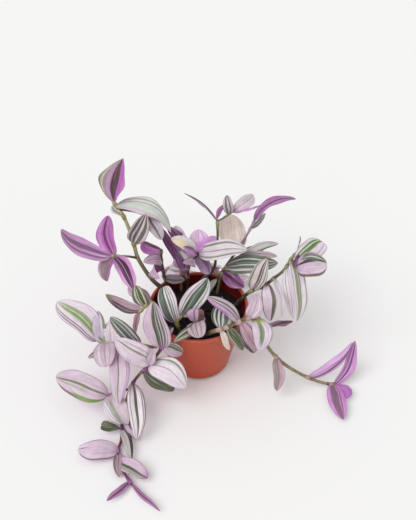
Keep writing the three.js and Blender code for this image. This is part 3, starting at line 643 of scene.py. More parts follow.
@dataclass(frozen=True)
class Leaf:
    """One leaf blade.

    Attributes:
        at: Its place on the stem, counted in the stem's points.
        tip: The point of its tip.
        width: The blade's widest.
        face: A direction that its upper side looks in.
        mark: Its colours and stripes.
        arch: How far the midrib bows up, as a share of the blade's length.
        fold: How steeply each half rises from the midrib, in degrees.
        sway: How far the midrib bows to the side, as a share of the blade's length.
        root: The power that shapes the blade's foot, higher for a narrower one.
        point: The power that draws the blade out to its tip, lower for a blunter one.
        rows: How many rings of points the blade has along it.
        columns: How many points each side of a ring has.
        last_row: The last ring's share of the length, before the crowding.
        crowding: The power, over 1, that sets the rings closer together towards the tip.
        thickness: The blade's greatest thickness.
        thinning: The power by which the blade gets thinner towards its tip.
        rooted: How far before the stem the outline starts from nothing, as a share of the length.
        ripple: How far the edges ripple, as a share of the width.
        ripple_waves: How many ripples an edge has.
        crease: How round the valley over the midrib is, as a share of the half width.
        waver: How far the midrib wavers, as a share of the length.
        waver_waves: How many times it wavers.
        uneven: How much one half gets wider and the other narrower at most, as a share.
        uneven_waves: How many waves this makes along the blade.
        twist: How far the tip twists at most, in degrees.
        reflex: How far the edges bend back, as a share of the half width.
        tip_reach: How far the tip lies past the last ring, as a share of the length.
        foot_reach: How far the foot is sunk into the stem.
    """

    at: float
    tip: Point
    width: float
    face: Point
    mark: Mark
    arch: float = 0.1
    fold: float = 15.0
    sway: float = 0.0
    root: float = 0.5
    point: float = 0.62
    rows: int = 30
    columns: int = 19
    last_row: float = 0.985
    crowding: float = 1.15
    thickness: float = 0.55
    thinning: float = 0.3
    rooted: float = 0.004
    ripple: float = 0.04
    ripple_waves: float = 1.9
    crease: float = 0.1
    waver: float = 0.018
    waver_waves: float = 0.9
    uneven: float = 0.07
    uneven_waves: float = 0.8
    twist: float = 14.0
    reflex: float = 0.1
    tip_reach: float = 0.014
    foot_reach: float = 0.4

    def half_width(self, t: np.ndarray) -> np.ndarray:
        """Give half the blade's width at shares t of its length.

        The outline is a power of the distance from the base times a power of the distance from
        the tip, (t + rooted)^root (1 - t)^point, over the widest that this comes to.

        Args:
            t: Shares of the length, from 0 at the stem to 1 at the tip.

        Returns:
            Half the width at each share.
        """
        both = self.root + self.point
        widest = (self.root / both) ** self.root * (self.point / both) ** self.point
        outline = (t + self.rooted) ** self.root * np.maximum(1 - t, 0) ** self.point
        return self.width / 2 * outline / widest

    def blade(self, base: np.ndarray, seed: float) -> Skinned:
        """Make the blade, thin and closed, channelled along its midrib.

        The midrib is base + reach t + (up arch + side sway) L 4 t (1 - t), and wavers to the side
        by a small sine. Across it, a point at s from -1 to 1 lies s times the half width to the
        side, at the cosine of the fold, and is lifted by the sine of the fold times
        sqrt(s^2 + c^2) - c, a valley rounded over the crease c. One half is a little wider than
        the other, by a sine along the blade. The blade twists by t^2, its edges bend back by |s|^3
        and ripple by a sine that grows with s^4. The thickness falls off to the edges as
        sqrt(1 - s^2).

        Args:
            base: The point that the blade grows from.
            seed: A number from 0 to 1 that sets this leaf's ripple and fine marks apart.

        Returns:
            The blade, its upper side in finish 0 and its underside in finish 1.
        """
        reach = np.array(self.tip) - base
        length = float(np.linalg.norm(reach))
        along = reach / length
        up = unit(np.array(self.face, float) - along * (along @ np.array(self.face, float)))
        side = np.cross(along, up)
        t = 1 - (1 - np.linspace(0, self.last_row, self.rows)) ** self.crowding
        column = np.sin(np.linspace(-math.pi / 2, math.pi / 2, self.columns))
        s = np.concatenate([column, column[-2:0:-1]])
        level = np.concatenate([np.ones(self.columns), -np.ones(self.columns - 2)])
        bow = (up * self.arch + side * self.sway) * length * 4
        wavering = np.sin(2 * math.pi * (self.waver_waves * t + seed))
        waver = self.waver * length * wavering * np.sin(math.pi * t)
        midrib = base + reach * t[:, None] + bow * (t * (1 - t))[:, None] + side * waver[:, None]
        tangent = unit(reach + bow * (1 - 2 * t)[:, None])
        normal = unit(up - tangent * (tangent @ up)[:, None])
        swing = np.sin(2 * math.pi * (self.uneven_waves * t[:, None] + seed * 5))
        uneven = 1 + self.uneven * s * swing
        half = self.half_width(t)[:, None] * uneven
        fold = math.radians(self.fold)
        wave = np.sin(2 * math.pi * (self.ripple_waves * t[:, None] + seed * 9 + 0.3 * np.sign(s)))
        ripple = self.ripple * self.width * s**4 * wave * np.sin(math.pi * t[:, None])
        valley = (np.sqrt(s**2 + self.crease**2) - self.crease) / (1 - self.crease * 0.9)
        bent = valley * math.sin(fold) - self.reflex * np.abs(s) ** 3
        thick = self.thickness / 2 * np.sqrt(1 - s**2) * (1 - t[:, None]) ** self.thinning
        across = s * half * math.cos(fold)
        lift = half * bent + ripple + level * thick
        twist = math.radians(self.twist) * math.sin(seed * 40) * t[:, None] ** 2
        aside = across * np.cos(twist) - lift * np.sin(twist)
        raised = across * np.sin(twist) + lift * np.cos(twist)
        rings = midrib[:, None] + side * aside[..., None] + normal[:, None] * raised[..., None]
        tip = midrib[-1] + tangent[-1] * length * self.tip_reach
        foot = midrib[0] - tangent[0] * self.foot_reach
        same_side = level * np.roll(level, -1) > 0
        made = loft(rings, foot, tip, np.where(same_side, (level < 0).astype(int), 1))
        grid = np.stack(np.broadcast_arrays(s[None, :], t[:, None], seed), axis=-1).reshape(-1, 3)
        made.values["blade"] = np.vstack([grid, [0, 0, seed], [0, 1, seed]])
        self.colour(made)
        return made

    def colour(self, skin: Skinned) -> None:
        """Let a blade carry its look: four colours, and four stripes with a colour each.

        Args:
            skin: The blade.
        """
        look = self.mark.value
        for name in ("ground", "margin", "under", "shade"):
            carried(skin, name, linear(getattr(look, name)))
        for place in range(STRIPES):
            band = look.bands[place] if place < len(look.bands) else NO_BAND
            carried(skin, f"stripe_{place}", (band.at, band.half, 0.0))
            carried(skin, f"reach_{place}", (band.start, band.stop, float(band.half > 0)))
            carried(skin, f"tint_{place}", linear(band.tint))


@dataclass(frozen=True)
class Stem:
    """One stem with its leaves.

    Attributes:
        radius: Its radius where it starts.
        route: The points that it runs through.
        leaves: Its leaves.
        sides: How many points each ring has round the stem.
        steps: How many rings lie between two points of the route.
        taper: The share of the radius that is lost on the way to the end.
        swelling: How much a node adds to the radius.
        reach: How far a swelling reaches, counted in the route's points.
        root_depth: How deep the stem goes into the compost.
        sheath_length: How long a leaf's sheath is.
        sheath_below: The share of a sheath that lies below its leaf.
        sheath_flare: How much wider than the stem each ring of a sheath is.
        sheath_spread: How far each ring is moved on, so that no two lie in one place.
        ring_strength: How strongly the ring over a node is coloured.
        ring_ahead: How far past its node a ring lies, counted in the route's points.
        ring_reach: How far a ring reaches, counted in the same way.
    """

    radius: float
    route: tuple[Point, ...]
    leaves: tuple[Leaf, ...]
    sides: int = 14
    steps: int = 8
    taper: float = 0.3
    swelling: float = 0.45
    reach: float = 0.18
    root_depth: float = 9.0
    sheath_length: float = 6.0
    sheath_below: float = 0.94
    sheath_flare: tuple[float, ...] = (0.02, 0.2, 0.26, 0.32, 0.42, 0.58, 0.1)
    sheath_spread: float = 0.02
    ring_strength: float = 0.6
    ring_ahead: float = 0.12
    ring_reach: float = 0.07

    @property
    def last(self) -> int:
        """The place of the stem's end."""
        return len(self.route) - 1

    def centre(self, at: np.ndarray) -> np.ndarray:
        """Find places on the stem's smooth centre line."""
        return along_path(np.array(self.route, float), at)

    def thickness(self, at: np.ndarray) -> np.ndarray:
        """Give the stem's radius, tapered to its end and swollen by a bell curve at each node.

        Args:
            at: Places, counted in the route's points.

        Returns:
            The radius at each place.
        """
        tapered = self.radius * (1 - self.taper * at / self.last)
        nodes = np.array([leaf.at for leaf in self.leaves])
        bells = np.exp(-(((at[:, None] - nodes) / self.reach) ** 2))
        return tapered + self.swelling * bells.max(axis=1)

    def tube(self, centres: np.ndarray, radii: np.ndarray) -> np.ndarray:
        """Carry a circle along a path: centre + radius (cos a across + sin a square).

        Args:
            centres: The points of the path, one a row.
            radii: The circle's radius at each point.

        Returns:
            Points by ring, by place round the ring, by axis.
        """
        _, across, square = path_frames(centres)
        turn = np.linspace(0, 2 * math.pi, self.sides, endpoint=False)
        circle = across[:, None] * np.cos(turn)[:, None] + square[:, None] * np.sin(turn)[:, None]
        return centres[:, None] + circle * radii[:, None, None]

    def stalk(self, skin: Skin, seed: float) -> Skinned:
        """Make the stem as a closed tube with a rounded end, rooted if it starts in the compost.

        Its colour goes from the skin's first to its second by the square of the way along the
        stem, and to the skin's ring colour in a thin ring just over each node.

        Args:
            skin: The stem's colours.
            seed: A number from 0 to 1 that sets its fine marks apart.

        Returns:
            The tube.
        """
        at = np.linspace(0, self.last, self.last * self.steps + 1)
        centres = self.centre(at)
        radii = self.thickness(at)
        if self.route[0][2] == Compost.top:
            up = np.array([0.0, 0.0, 1.0])
            depths = np.array([self.root_depth, self.root_depth / 2])[:, None]
            centres = np.vstack([centres[0] - up * depths, centres])
            radii = np.concatenate([[radii[0], radii[0]], radii])
            at = np.concatenate([[0.0, 0.0], at])
        ahead = unit(centres[-1] - centres[-2])
        rounded = np.array([0.5, 0.85])
        centres = np.vstack([centres, centres[-1] + ahead * radii[-1] * rounded[:, None]])
        radii = np.concatenate([radii, radii[-1] * np.sqrt(1 - rounded**2)])
        at = np.concatenate([at, [self.last] * 2])
        end = centres[-3] + ahead * radii[-3]
        made = loft(self.tube(centres, radii), centres[0], end)
        low, high, ringed = (np.array(linear(colour)) for colour in skin.value[:3])
        share = (at / self.last)[:, None] ** 2
        tints = low * (1 - share) + high * share
        nodes = np.array([leaf.at for leaf in self.leaves])
        past = at[:, None] - nodes - self.ring_ahead
        ring = self.ring_strength * np.exp(-((past / self.ring_reach) ** 2)).max(axis=1)[:, None]
        tints = tints * (1 - ring) + ringed * ring
        length = np.concatenate([[0], np.cumsum(np.linalg.norm(np.diff(centres, axis=0), axis=1))])
        self.paint(made, tints, length, seed)
        return made

    def sheath(self, leaf: Leaf, skin: Skin, seed: float) -> Skinned:
        """Make the sheath by which a leaf clasps the stem, a tube that widens to its rim.

        Its place, counted in the route's points, follows from how long the route is for each
        point that it counts, measured over a short span at the leaf.

        Args:
            leaf: The leaf that it belongs to.
            skin: The stem's colours.
            seed: A number from 0 to 1 that sets its fine marks apart.

        Returns:
            The sheath.
        """
        span = 0.05
        after, before = self.centre(np.array([min(leaf.at + span, self.last), leaf.at - span]))
        speed = max(float(np.linalg.norm(after - before)) / (2 * span), 1.0)
        flare = np.array(self.sheath_flare)
        share = np.linspace(0, 1, len(flare))
        offset = (share - self.sheath_below) * self.sheath_length / speed
        at = np.clip(leaf.at + offset, 0, self.last)
        centres = self.centre(at)
        direction = unit(centres[-1] - centres[0])
        centres = centres + direction * (np.arange(len(flare)) * self.sheath_spread)[:, None]
        made = loft(self.tube(centres, self.thickness(at) + flare), centres[0], centres[-1])
        base, rim = (np.array(linear(colour)) for colour in skin.value[3:])
        tints = base * (1 - share[:, None]) + rim * share[:, None]
        self.paint(made, tints, share * self.sheath_length, seed)
        return made

    def paint(self, made: Skinned, tints: np.ndarray, length: np.ndarray, seed: float) -> None:
        """Let a tube carry its colour, and its place along and round itself.

        Args:
            made: The tube.
            tints: The colour of each ring.
            length: How far along the tube each ring lies.
            seed: A number from 0 to 1 that sets its fine marks apart.
        """
        turn = np.linspace(0, 2 * math.pi, self.sides, endpoint=False)
        rows = np.repeat(tints, self.sides, axis=0)
        made.values["skin"] = np.vstack([rows, tints[0], tints[-1]])
        grid = np.stack(np.broadcast_arrays(
            np.cos(turn)[None, :], np.sin(turn)[None, :], length[:, None] / 10 + seed * 50,
        ), axis=-1).reshape(-1, 3)
        made.values["flow"] = np.vstack([grid, grid[0], grid[-1]])


@dataclass(frozen=True)
class Shoot:
    """A leafy stem with its side branches.

    Attributes:
        node: The name of the solid that it stands for.
        stems: Its stems.
        skin: The colours of its stems.
    """

    node: str
    stems: tuple[Stem, ...]
    skin: Skin

    def build(self, seed: float, finishes: "Finishes") -> None:
        """Make the leaves as one object and the stems with their sheaths as another.

        Args:
            seed: A number that sets this shoot's fine marks apart.
            finishes: The scene's materials.
        """
        blades: list[Skinned] = []
        stalks: list[Skinned] = []
        for stem in self.stems:
            stalks.append(stem.stalk(self.skin, seed))
            for leaf in stem.leaves:
                seed = (seed + LEAF_SEED_STEP) % 1.0
                blades.append(leaf.blade(stem.centre(np.array([leaf.at]))[0], seed))
                stalks.append(stem.sheath(leaf, self.skin, seed))
        leaves = make_object(f"{self.node}_leaves", joined(blades), [finishes.upper, finishes.under])
        dress(leaves, "foliage", self.node)
        stems = make_object(f"{self.node}_stems", joined(stalks), [finishes.stalk])
        dress(stems, "foliage")


# Every leafy stem: the points that it runs through, then its leaves
SHOOTS = (
    Shoot("shoot_upper_left", (
        Stem(2.9, (
            (-38, 22, 80), (-44, 25, 97), (-52, 27, 105), (-61, 31, 115), (-73, 40, 134),
            (-77, 47, 147), (-83, 58, 164), (-91, 68, 179), (-101, 76, 190),
        ), (
            Leaf(7.9, (-88, 99, 238), 50, (-6, -6, 5), Mark.FOLDED_TOP,
                 arch=0.02, fold=38, root=1.1, point=1.15),
            Leaf(6.9, (-105, 85, 179), 8, (-1, 1, 1), Mark.PLUM_BACK, sway=-0.14),
            Leaf(7.75, (-33, 60, 158), 30, (2, -1, 4), Mark.MINT, arch=0.33, fold=6),
            Leaf(5.2, (-60, 44, 197), 23, (0, -3, 2), Mark.GREY_STRIPED),
        )),
        Stem(1.4, (
            (-95, 71, 184), (-77, 64, 186), (-58, 56, 185),
        ), (
            Leaf(2, (-43, 41, 162), 16.5, FRONT_UP, Mark.OLIVE_LINED),
        )),
        Stem(1.6, (
            (-73, 40, 134), (-85, 34, 142), (-102, 28, 148),
        ), (
            Leaf(1.9, (-104, 43, 196), 22, BACK_DOWN, Mark.RICH_BACK, arch=0.05, sway=0.13),
            Leaf(2, (-155, 18, 193), 25, (-1, 1, -2), Mark.MAGENTA_GREY_BACK,
                 arch=0.08, sway=0.06, point=0.42),
            Leaf(1.9, (-78, 9, 112), 25, (1, 1, -1), Mark.DARK_STRIPED_BACK),
            Leaf(1.8, (-109, 8, 126), 20, (-1, 2, -1), Mark.OLIVE_BACK,
                 fold=30, sway=-0.14, point=0.42),
        )),
    ), Skin.DARK_FOOTED),
    Shoot("shoot_centre_left", (
        Stem(2, (
            (-30, 33, 80), (-40, 34, 101), (-45, 44, 124), (-45, 48, 140),
        ), (
            Leaf(2.9, (-68, 44, 154), 20, (-1, 1, -1), Mark.CURLED_BACK, arch=0.2, fold=40),
            Leaf(2.2, (-65, 24, 142), 15.5, FRONT_UP, Mark.MAUVE, arch=0.15),
            Leaf(1.6, (-45, 4, 133), 14.5, (-1, -1, 1), Mark.MAUVE, arch=0.3),
            Leaf(1.2, (-17, 34, 104), 12, FRONT_UP, Mark.GREY_MAUVE),
        )),
    ), Skin.BROWN),
    Shoot("shoot_centre_back", (
        Stem(2.2, (
            (-14, 42, 80), (-14, 42, 105), (-11, 46, 121), (0, 50, 134),
        ), (
            Leaf(0.9, (-46, 58, 169), 13, BACK_DOWN, Mark.DEEP_LINED_BACK, arch=0.05, fold=10),
            Leaf(2.8, (-38, 77, 154), 18, (-1, 1, 0), Mark.PLUM_BACK, arch=0.05),
            Leaf(2.9, (-33, 52, 155), 18, FRONT_HIGH, Mark.CREAM, arch=0.15),
            Leaf(2, (-30, 90, 144), 18, FRONT_UP, Mark.GREEN_EDGED, arch=0.12),
            Leaf(3, (0, 69, 155), 26, FRONT_UP, Mark.LILAC_PINK),
            Leaf(2.9, (21, 60, 151), 18, FRONT_UP, Mark.MAGENTA_EDGED, arch=0.15),
            Leaf(2.7, (-17, 28, 162), 13.5, BACK_DOWN, Mark.LILAC_BACK, arch=-0.1),
            Leaf(2.8, (13, 26, 121), 16.5, BACK_DOWN, Mark.GREY_VIOLET_BACK, arch=0.15),
            Leaf(1.9, (-18, 14, 149), 13.5, FRONT_UP, Mark.MAUVE, arch=0.2),
            Leaf(3, (58, 34, 152), 26.5, (0, -2, 3), Mark.THREE_LINED),
            Leaf(1.6, (-28, 30, 141), 13, (-1, -1, 1), Mark.MAUVE, arch=0.2),
        )),
    ), Skin.BROWN),
    Shoot("shoot_back_tall", (
        Stem(2.1, (
            (-3, 45, 80), (5, 47, 94), (15, 52, 100), (20, 57, 108), (21, 61, 118), (23, 66, 141),
            (23, 78, 161),
        ), (
            Leaf(6, (-18, 96, 190), 13.5, (-1, -1, -1), Mark.GREY_BACK, arch=-0.1, fold=30),
            Leaf(5.9, (40, 104, 169), 13.5, (-1, 1, 0), Mark.MAGENTA_BACK, arch=0.2),
        )),
        Stem(1.3, (
            (23, 78, 161), (30, 80, 164), (42, 84, 172),
        ), (
            Leaf(1.6, (34, 92, 190), 13, FRONT_UP, Mark.CURLED_GREY, arch=0.3),
            Leaf(2, (76, 76, 188), 18, (0, 1, 3), Mark.MAGENTA_EDGED, arch=-0.1),
            Leaf(1.9, (68, 111, 176), 17, FRONT, Mark.PALE, arch=0.2),
        )),
    ), Skin.GREEN),
    Shoot("shoot_back_right", (
        Stem(1.8, (
            (13, 42, 80), (32, 52, 108), (46, 60, 127), (54, 66, 138), (62, 74, 149),
            (68, 82, 158),
        ), (
            Leaf(5, (117, 84, 190), 21, (-5, 10, 3), Mark.MAGENTA_BACK, arch=0.2, fold=10),
            Leaf(4.2, (81, 81, 171), 9, (1, 0, 1), Mark.GREY_STRIPED, arch=0.05),
            Leaf(2.1, (37, 108, 149), 34.5, FRONT_UP, Mark.BEIGE, arch=0.06),
        )),
    ), Skin.MAUVE),
    Shoot("shoot_right_back", (
        Stem(1.9, (
            (23, 36, 80), (29, 46, 106), (41, 50, 119), (55, 54, 129),
        ), (
            Leaf(2.8, (81, 66, 130), 14.5, FRONT_UP, Mark.DARK_STRIPED),
            Leaf(3, (98, 68, 134), 12, FRONT_HIGH, Mark.GREY_PALE),
            Leaf(3, (95, 42, 135), 11, FRONT_UP, Mark.GREY_PINK),
            Leaf(1.5, (95, 32, 133), 24.5, FRONT_UP, Mark.DARK_STRIPED, arch=0.12),
            Leaf(1, (55, 22, 103), 20, BACK_DOWN, Mark.MAROON_BACK, arch=-0.1),
        )),
    ), Skin.OLIVE),
    Shoot("shoot_right_upper", (
        Stem(2.2, (
            (41, 10, 80), (61, 10, 106), (77, 14, 111), (89, 16, 122), (101, 17, 135),
            (109, 22, 148), (115, 26, 154),
        ), (
            Leaf(1.2, (81, 26, 145), 22, LEFT_UP, Mark.WHITE_DARK_LINED, arch=0.05),
            Leaf(5.7, (120, 44, 165), 13, (1, 0, 0), Mark.GREEN_BACK, arch=0.05),
            Leaf(4.4, (114, -7, 78), 11, FRONT_LEFT, Mark.PALE_LINED),
            Leaf(5, (117, -20, 87), 19, (1, -3, 1), Mark.GREEN_LINED, sway=-0.07),
            Leaf(2.4, (85, -16, 83), 18, FRONT, Mark.OLIVE_SIDED, arch=0.12),
            Leaf(3.1, (98, -24, 98), 10, (1, -2, 1), Mark.PALE, arch=0.12),
        )),
        Stem(1.5, (
            (109, 22, 148), (112, 17, 146), (115, 12, 144),
        ), (
            Leaf(1.7, (146, 35, 163), 28, LEFT_UP, Mark.GREEN_STRIPED, point=0.32),
            Leaf(2, (147, -1, 160), 30, FRONT_UP, Mark.DARK_RIBBED, point=0.45),
            Leaf(2, (116, 18, 159), 13, (-1, 1, -1), Mark.PLUM_BACK, arch=-0.05),
        )),
    ), Skin.SLATE_FOOTED),
    Shoot("shoot_right_trailer", (
        Stem(2.6, (
            (6, -38, 80), (16, -50, 100), (30, -49, 105), (43, -45, 109), (57, -40, 111),
            (72, -31, 100), (80, -36, 66), (98, -43, 43), (123, -48, 25), (148, -48, 10),
            (167, -48, 5),
        ), (
            Leaf(1.8, (31, -20, 117), 28, FRONT_UP, Mark.FAN_STRIPED, point=0.45),
            Leaf(3.3, (10, -28, 134), 16.5, (1, -1, 1), Mark.PALE_TURNED, arch=0.15),
            Leaf(1.7, (36, -58, 78), 8, FRONT_UP, Mark.BEIGE),
            Leaf(2.3, (52, -56, 76), 13, FRONT_UP, Mark.OLIVE_GREEN),
            Leaf(4.1, (69, -21, 132), 19, FRONT_LEFT, Mark.PINK, sway=0.08),
            Leaf(4.7, (71, -61, 80), 24, FRONT_UP, Mark.GREEN_HEART, arch=0.2, sway=-0.13),
            Leaf(3.4, (68, -44, 60), 22, FRONT_UP, Mark.MAUVE_DARK_EDGED, arch=0.12),
            Leaf(5.35, (109, -38, 105), 19, (0, 2, 1), Mark.DEEP_BACK, arch=-0.04),
            Leaf(6.8, (94, -67, 16), 16, FRONT_LEFT, Mark.GREY_SIDED, fold=20, sway=-0.1),
            Leaf(8.4, (187, -21, 52), 16, (-1, 1, -1), Mark.LILAC_BACK, arch=0.02, sway=-0.14),
            Leaf(10, (190, -20, 53), 16, (1, 1, -1), Mark.TWIN_BACK, sway=-0.06),
            Leaf(9.8, (170, -102, 7), 21, (1, 1, -5), Mark.GREY_MIDDLE_BACK, arch=-0.04, fold=6),
            Leaf(10, (182, -71, 10), 17.5, (0, 1, -4), Mark.DEEP_MAGENTA_BACK,
                 arch=-0.04, fold=8, point=0.42),
        )),
    ), Skin.PINK),
    Shoot("shoot_front_left", (
        Stem(2.2, (
            (-22, -30, 80), (-25, -28, 92), (-20, -26, 102),
        ), (
            Leaf(1, (-40, -2, 126), 24, LEFT_UP, Mark.DARK_GREEN_SIDED, arch=0.12, point=0.34),
            Leaf(2, (11, 6, 132), 26.5, RIGHT_UP, Mark.GREEN_BROAD, arch=0.12),
            Leaf(1.8, (22, 22, 116), 13, FRONT_UP, Mark.DARK_STRIPED),
        )),
    ), Skin.OLIVE),
    Shoot("shoot_front_bud", (
        Stem(2, (
            (-4, -30, 80), (-3, -32, 98),
        ), (
            Leaf(1, (-2, -25, 113), 21, FRONT, Mark.BUD, arch=0.15, fold=10, point=0.36),
            Leaf(0.9, (1, -66, 107), 23, FRONT_UP, Mark.BUD_LEAF, arch=0.12, point=0.36),
            Leaf(0.5, (-27, -68, 102), 13, FRONT_UP, Mark.OLIVE_STRIPED, arch=0.25),
            Leaf(0.8, (8, -26, 99), 10, FRONT_UP, Mark.PINK, arch=0.2),
        )),
    ), Skin.OLIVE),
    Shoot("shoot_left", (
        Stem(2, (
            (-44, 2, 80), (-55, -2, 101), (-64, -6, 97), (-70, -10, 92),
        ), (
            Leaf(1.9, (-75, 9, 118), 18, LEFT_UP, Mark.OLIVE_STRIPED, arch=0.08),
            Leaf(1.3, (-86, 26, 100), 16.5, FRONT_HIGH, Mark.MAUVE, arch=0.08),
            Leaf(2.6, (-111, 7, 105), 15, FRONT_UP, Mark.DARK_SIDED, arch=-0.1, sway=-0.08),
            Leaf(3, (-75, -24, 69), 12, (-1, -1, 0), Mark.BROWN_PINK),
        )),
    ), Skin.OLIVE),
    Shoot("shoot_far_left", (
        Stem(2.1, (
            (-42, -20, 80), (-43, -28, 94), (-44, -44, 99), (-48, -54, 80), (-65, -52, 80),
            (-92, -46, 72), (-106, -42, 71), (-116, -36, 73),
        ), (
            Leaf(7, (-164, -16, 115), 33.5, FRONT_UP, Mark.GREEN_HEART_WIDE, sway=0.07, point=0.5),
            Leaf(6.8, (-117, -22, 106), 16.5, FRONT_UP, Mark.GREEN_RIGHT),
            Leaf(5.7, (-103, -26, 95), 16.5, FRONT_UP, Mark.PALE),
            Leaf(4.1, (-102, -30, 104), 17.5, FRONT_UP, Mark.DIM_STRIPED),
            Leaf(5, (-91, -101, 35), 24.5, FRONT, Mark.PALE_MIDLINED, arch=0.12),
            Leaf(6.3, (-106, -73, 66), 27, FRONT_UP, Mark.PINK, arch=0.2, point=0.42),
            Leaf(5, (-108, -58, 63), 20, FRONT_HIGH, Mark.PALE_MIDLINED, arch=0.15),
            Leaf(6.2, (-129, -55, 61), 11, (-1, -1, 1), Mark.MAUVE_DARK_EDGED, sway=-0.14),
            Leaf(6.5, (-124, -33, 80), 10, FRONT_UP, Mark.GREEN_HEART, arch=0.15),
        )),
    ), Skin.OLIVE),
    Shoot("shoot_long_trailer", (
        Stem(2.1, (
            (-30, -34, 80), (-31, -38, 93), (-34, -49, 100), (-39, -60, 90), (-56, -66, 63),
            (-73, -74, 46), (-83, -82, 25), (-88, -104, 8), (-88, -130, 5), (-90, -141, 4),
            (-87, -162, 4), (-72, -187, 5),
        ), (
            Leaf(3.9, (-94, -62, 101), 27.5, FRONT_UP, Mark.PALE_GREY_STRIPED, arch=0.12),
            Leaf(4.1, (-49, -66, 90), 11, FRONT_UP, Mark.PINK),
            Leaf(4, (-14, -86, 45), 31, FRONT_UP, Mark.PALE_GREEN_ARC, arch=0.12, sway=-0.14),
            Leaf(4.4, (-29, -66, 17), 20, FRONT_UP, Mark.DARK_GREEN),
            Leaf(3.1, (-18, -55, 70), 16.5, FRONT_UP, Mark.GREEN_SHADED),
            Leaf(2.9, (-28, -50, 107), 6, FRONT_LEFT, Mark.PINK),
            Leaf(5.3, (-69, -134, 13), 22, RIGHT_UP, Mark.OLIVE_RIBBED, arch=0.15),
            Leaf(7.2, (-110, -90, 24), 9, FRONT_UP, Mark.PALE_LINED, arch=0.05, sway=-0.14),
            Leaf(7.4, (-112, -115, 12), 13, FRONT_HIGH, Mark.DARK_GREEN, root=1.1, point=0.3),
            Leaf(6.9, (-70, -130, 6), 10, FRONT_HIGH, Mark.DARK_RIBBED),
            Leaf(7.4, (-74, -158, 7), 13, (1, -1, 3), Mark.GREY_DARK_EDGED, sway=0.01),
            Leaf(9.1, (-134, -148, 12), 23, FRONT_HIGH, Mark.ROSE, arch=0.12, sway=-0.04, point=0.5),
            Leaf(9.3, (-86, -178, 4), 11, FRONT_HIGH, Mark.DUSKY),
            Leaf(9.7, (-54, -182, 9), 18, FRONT_HIGH, Mark.GREEN_LOW, arch=0.12, point=0.5),
            Leaf(10.9, (-96, -210, 9), 9, (-1, 1, -3), Mark.VIOLET_BACK, arch=-0.05),
            Leaf(11, (-39, -221, 7), 6.5, (1, 1, -3), Mark.VIOLET_BACK, arch=-0.05),
            Leaf(3.2, (-50, -41, 139), 31, (-1, -3, 2), Mark.SILVER_STRIPED, arch=0.12, sway=0.04),
        )),
        Stem(1.5, (
            (-80, -78, 33), (-89, -84, 37), (-106, -84, 29),
        ), (
            Leaf(2, (-169, -62, 36), 33, FRONT_UP, Mark.OLIVE_MIDLINED, arch=0.12, sway=0.03),
            Leaf(1.7, (-81, -114, 13), 21, FRONT_UP, Mark.GREY_GREEN_EDGED, arch=0.12),
        )),
    ), Skin.MAROON),
    Shoot("shoot_back_low_left", (
        Stem(2, (
            (-22, 42, 80), (-22, 51, 97), (-20, 66, 99), (-22, 84, 82), (-26, 100, 52),
            (-34, 122, 20), (-42, 146, 6),
        ), (
            Leaf(2.4, (-48, 84, 62), 18, (-1, 1, 1), Mark.GREEN_HEART, arch=0.15),
            Leaf(3, (6, 112, 56), 20, (1, 1, 1), Mark.PALE_MIDLINED, arch=0.15),
            Leaf(3.6, (-58, 118, 40), 20, (-1, 1, 1), Mark.GREEN_STRIPED, arch=0.12),
            Leaf(4.5, (2, 138, 22), 20, BACK_HIGH, Mark.PINK, arch=0.12),
            Leaf(5.3, (-60, 166, 8), 18, BACK_HIGH, Mark.PALE_GREEN_ARC, arch=0.12),
            Leaf(6, (-22, 186, 6), 18, UP, Mark.PALE_LINED, arch=0.15),
        )),
    ), Skin.PINK),
    Shoot("shoot_back_low_right", (
        Stem(2, (
            (9, 48, 80), (10, 51, 90), (10, 57, 99), (12, 68, 98), (16, 84, 80), (22, 98, 52),
            (30, 116, 22), (42, 134, 8),
        ), (
            Leaf(3.4, (40, 82, 58), 18, (1, 1, 1), Mark.PALE_LINED, arch=0.15),
            Leaf(4.1, (22, 118, 40), 16.5, (0, 1, 1), Mark.GREEN_HEART, arch=0.12),
            Leaf(4.8, (60, 108, 32), 20, (1, 1, 1), Mark.PINK, arch=0.12),
            Leaf(5.8, (22, 150, 12), 18, BACK_HIGH, Mark.DARK_STRIPED, arch=0.12),
            Leaf(6.6, (70, 146, 8), 18, UP, Mark.PALE_MIDLINED, arch=0.15),
            Leaf(7, (54, 172, 6), 16.5, UP, Mark.GREEN_STRIPED, arch=0.15),
        )),
    ), Skin.OLIVE),
)


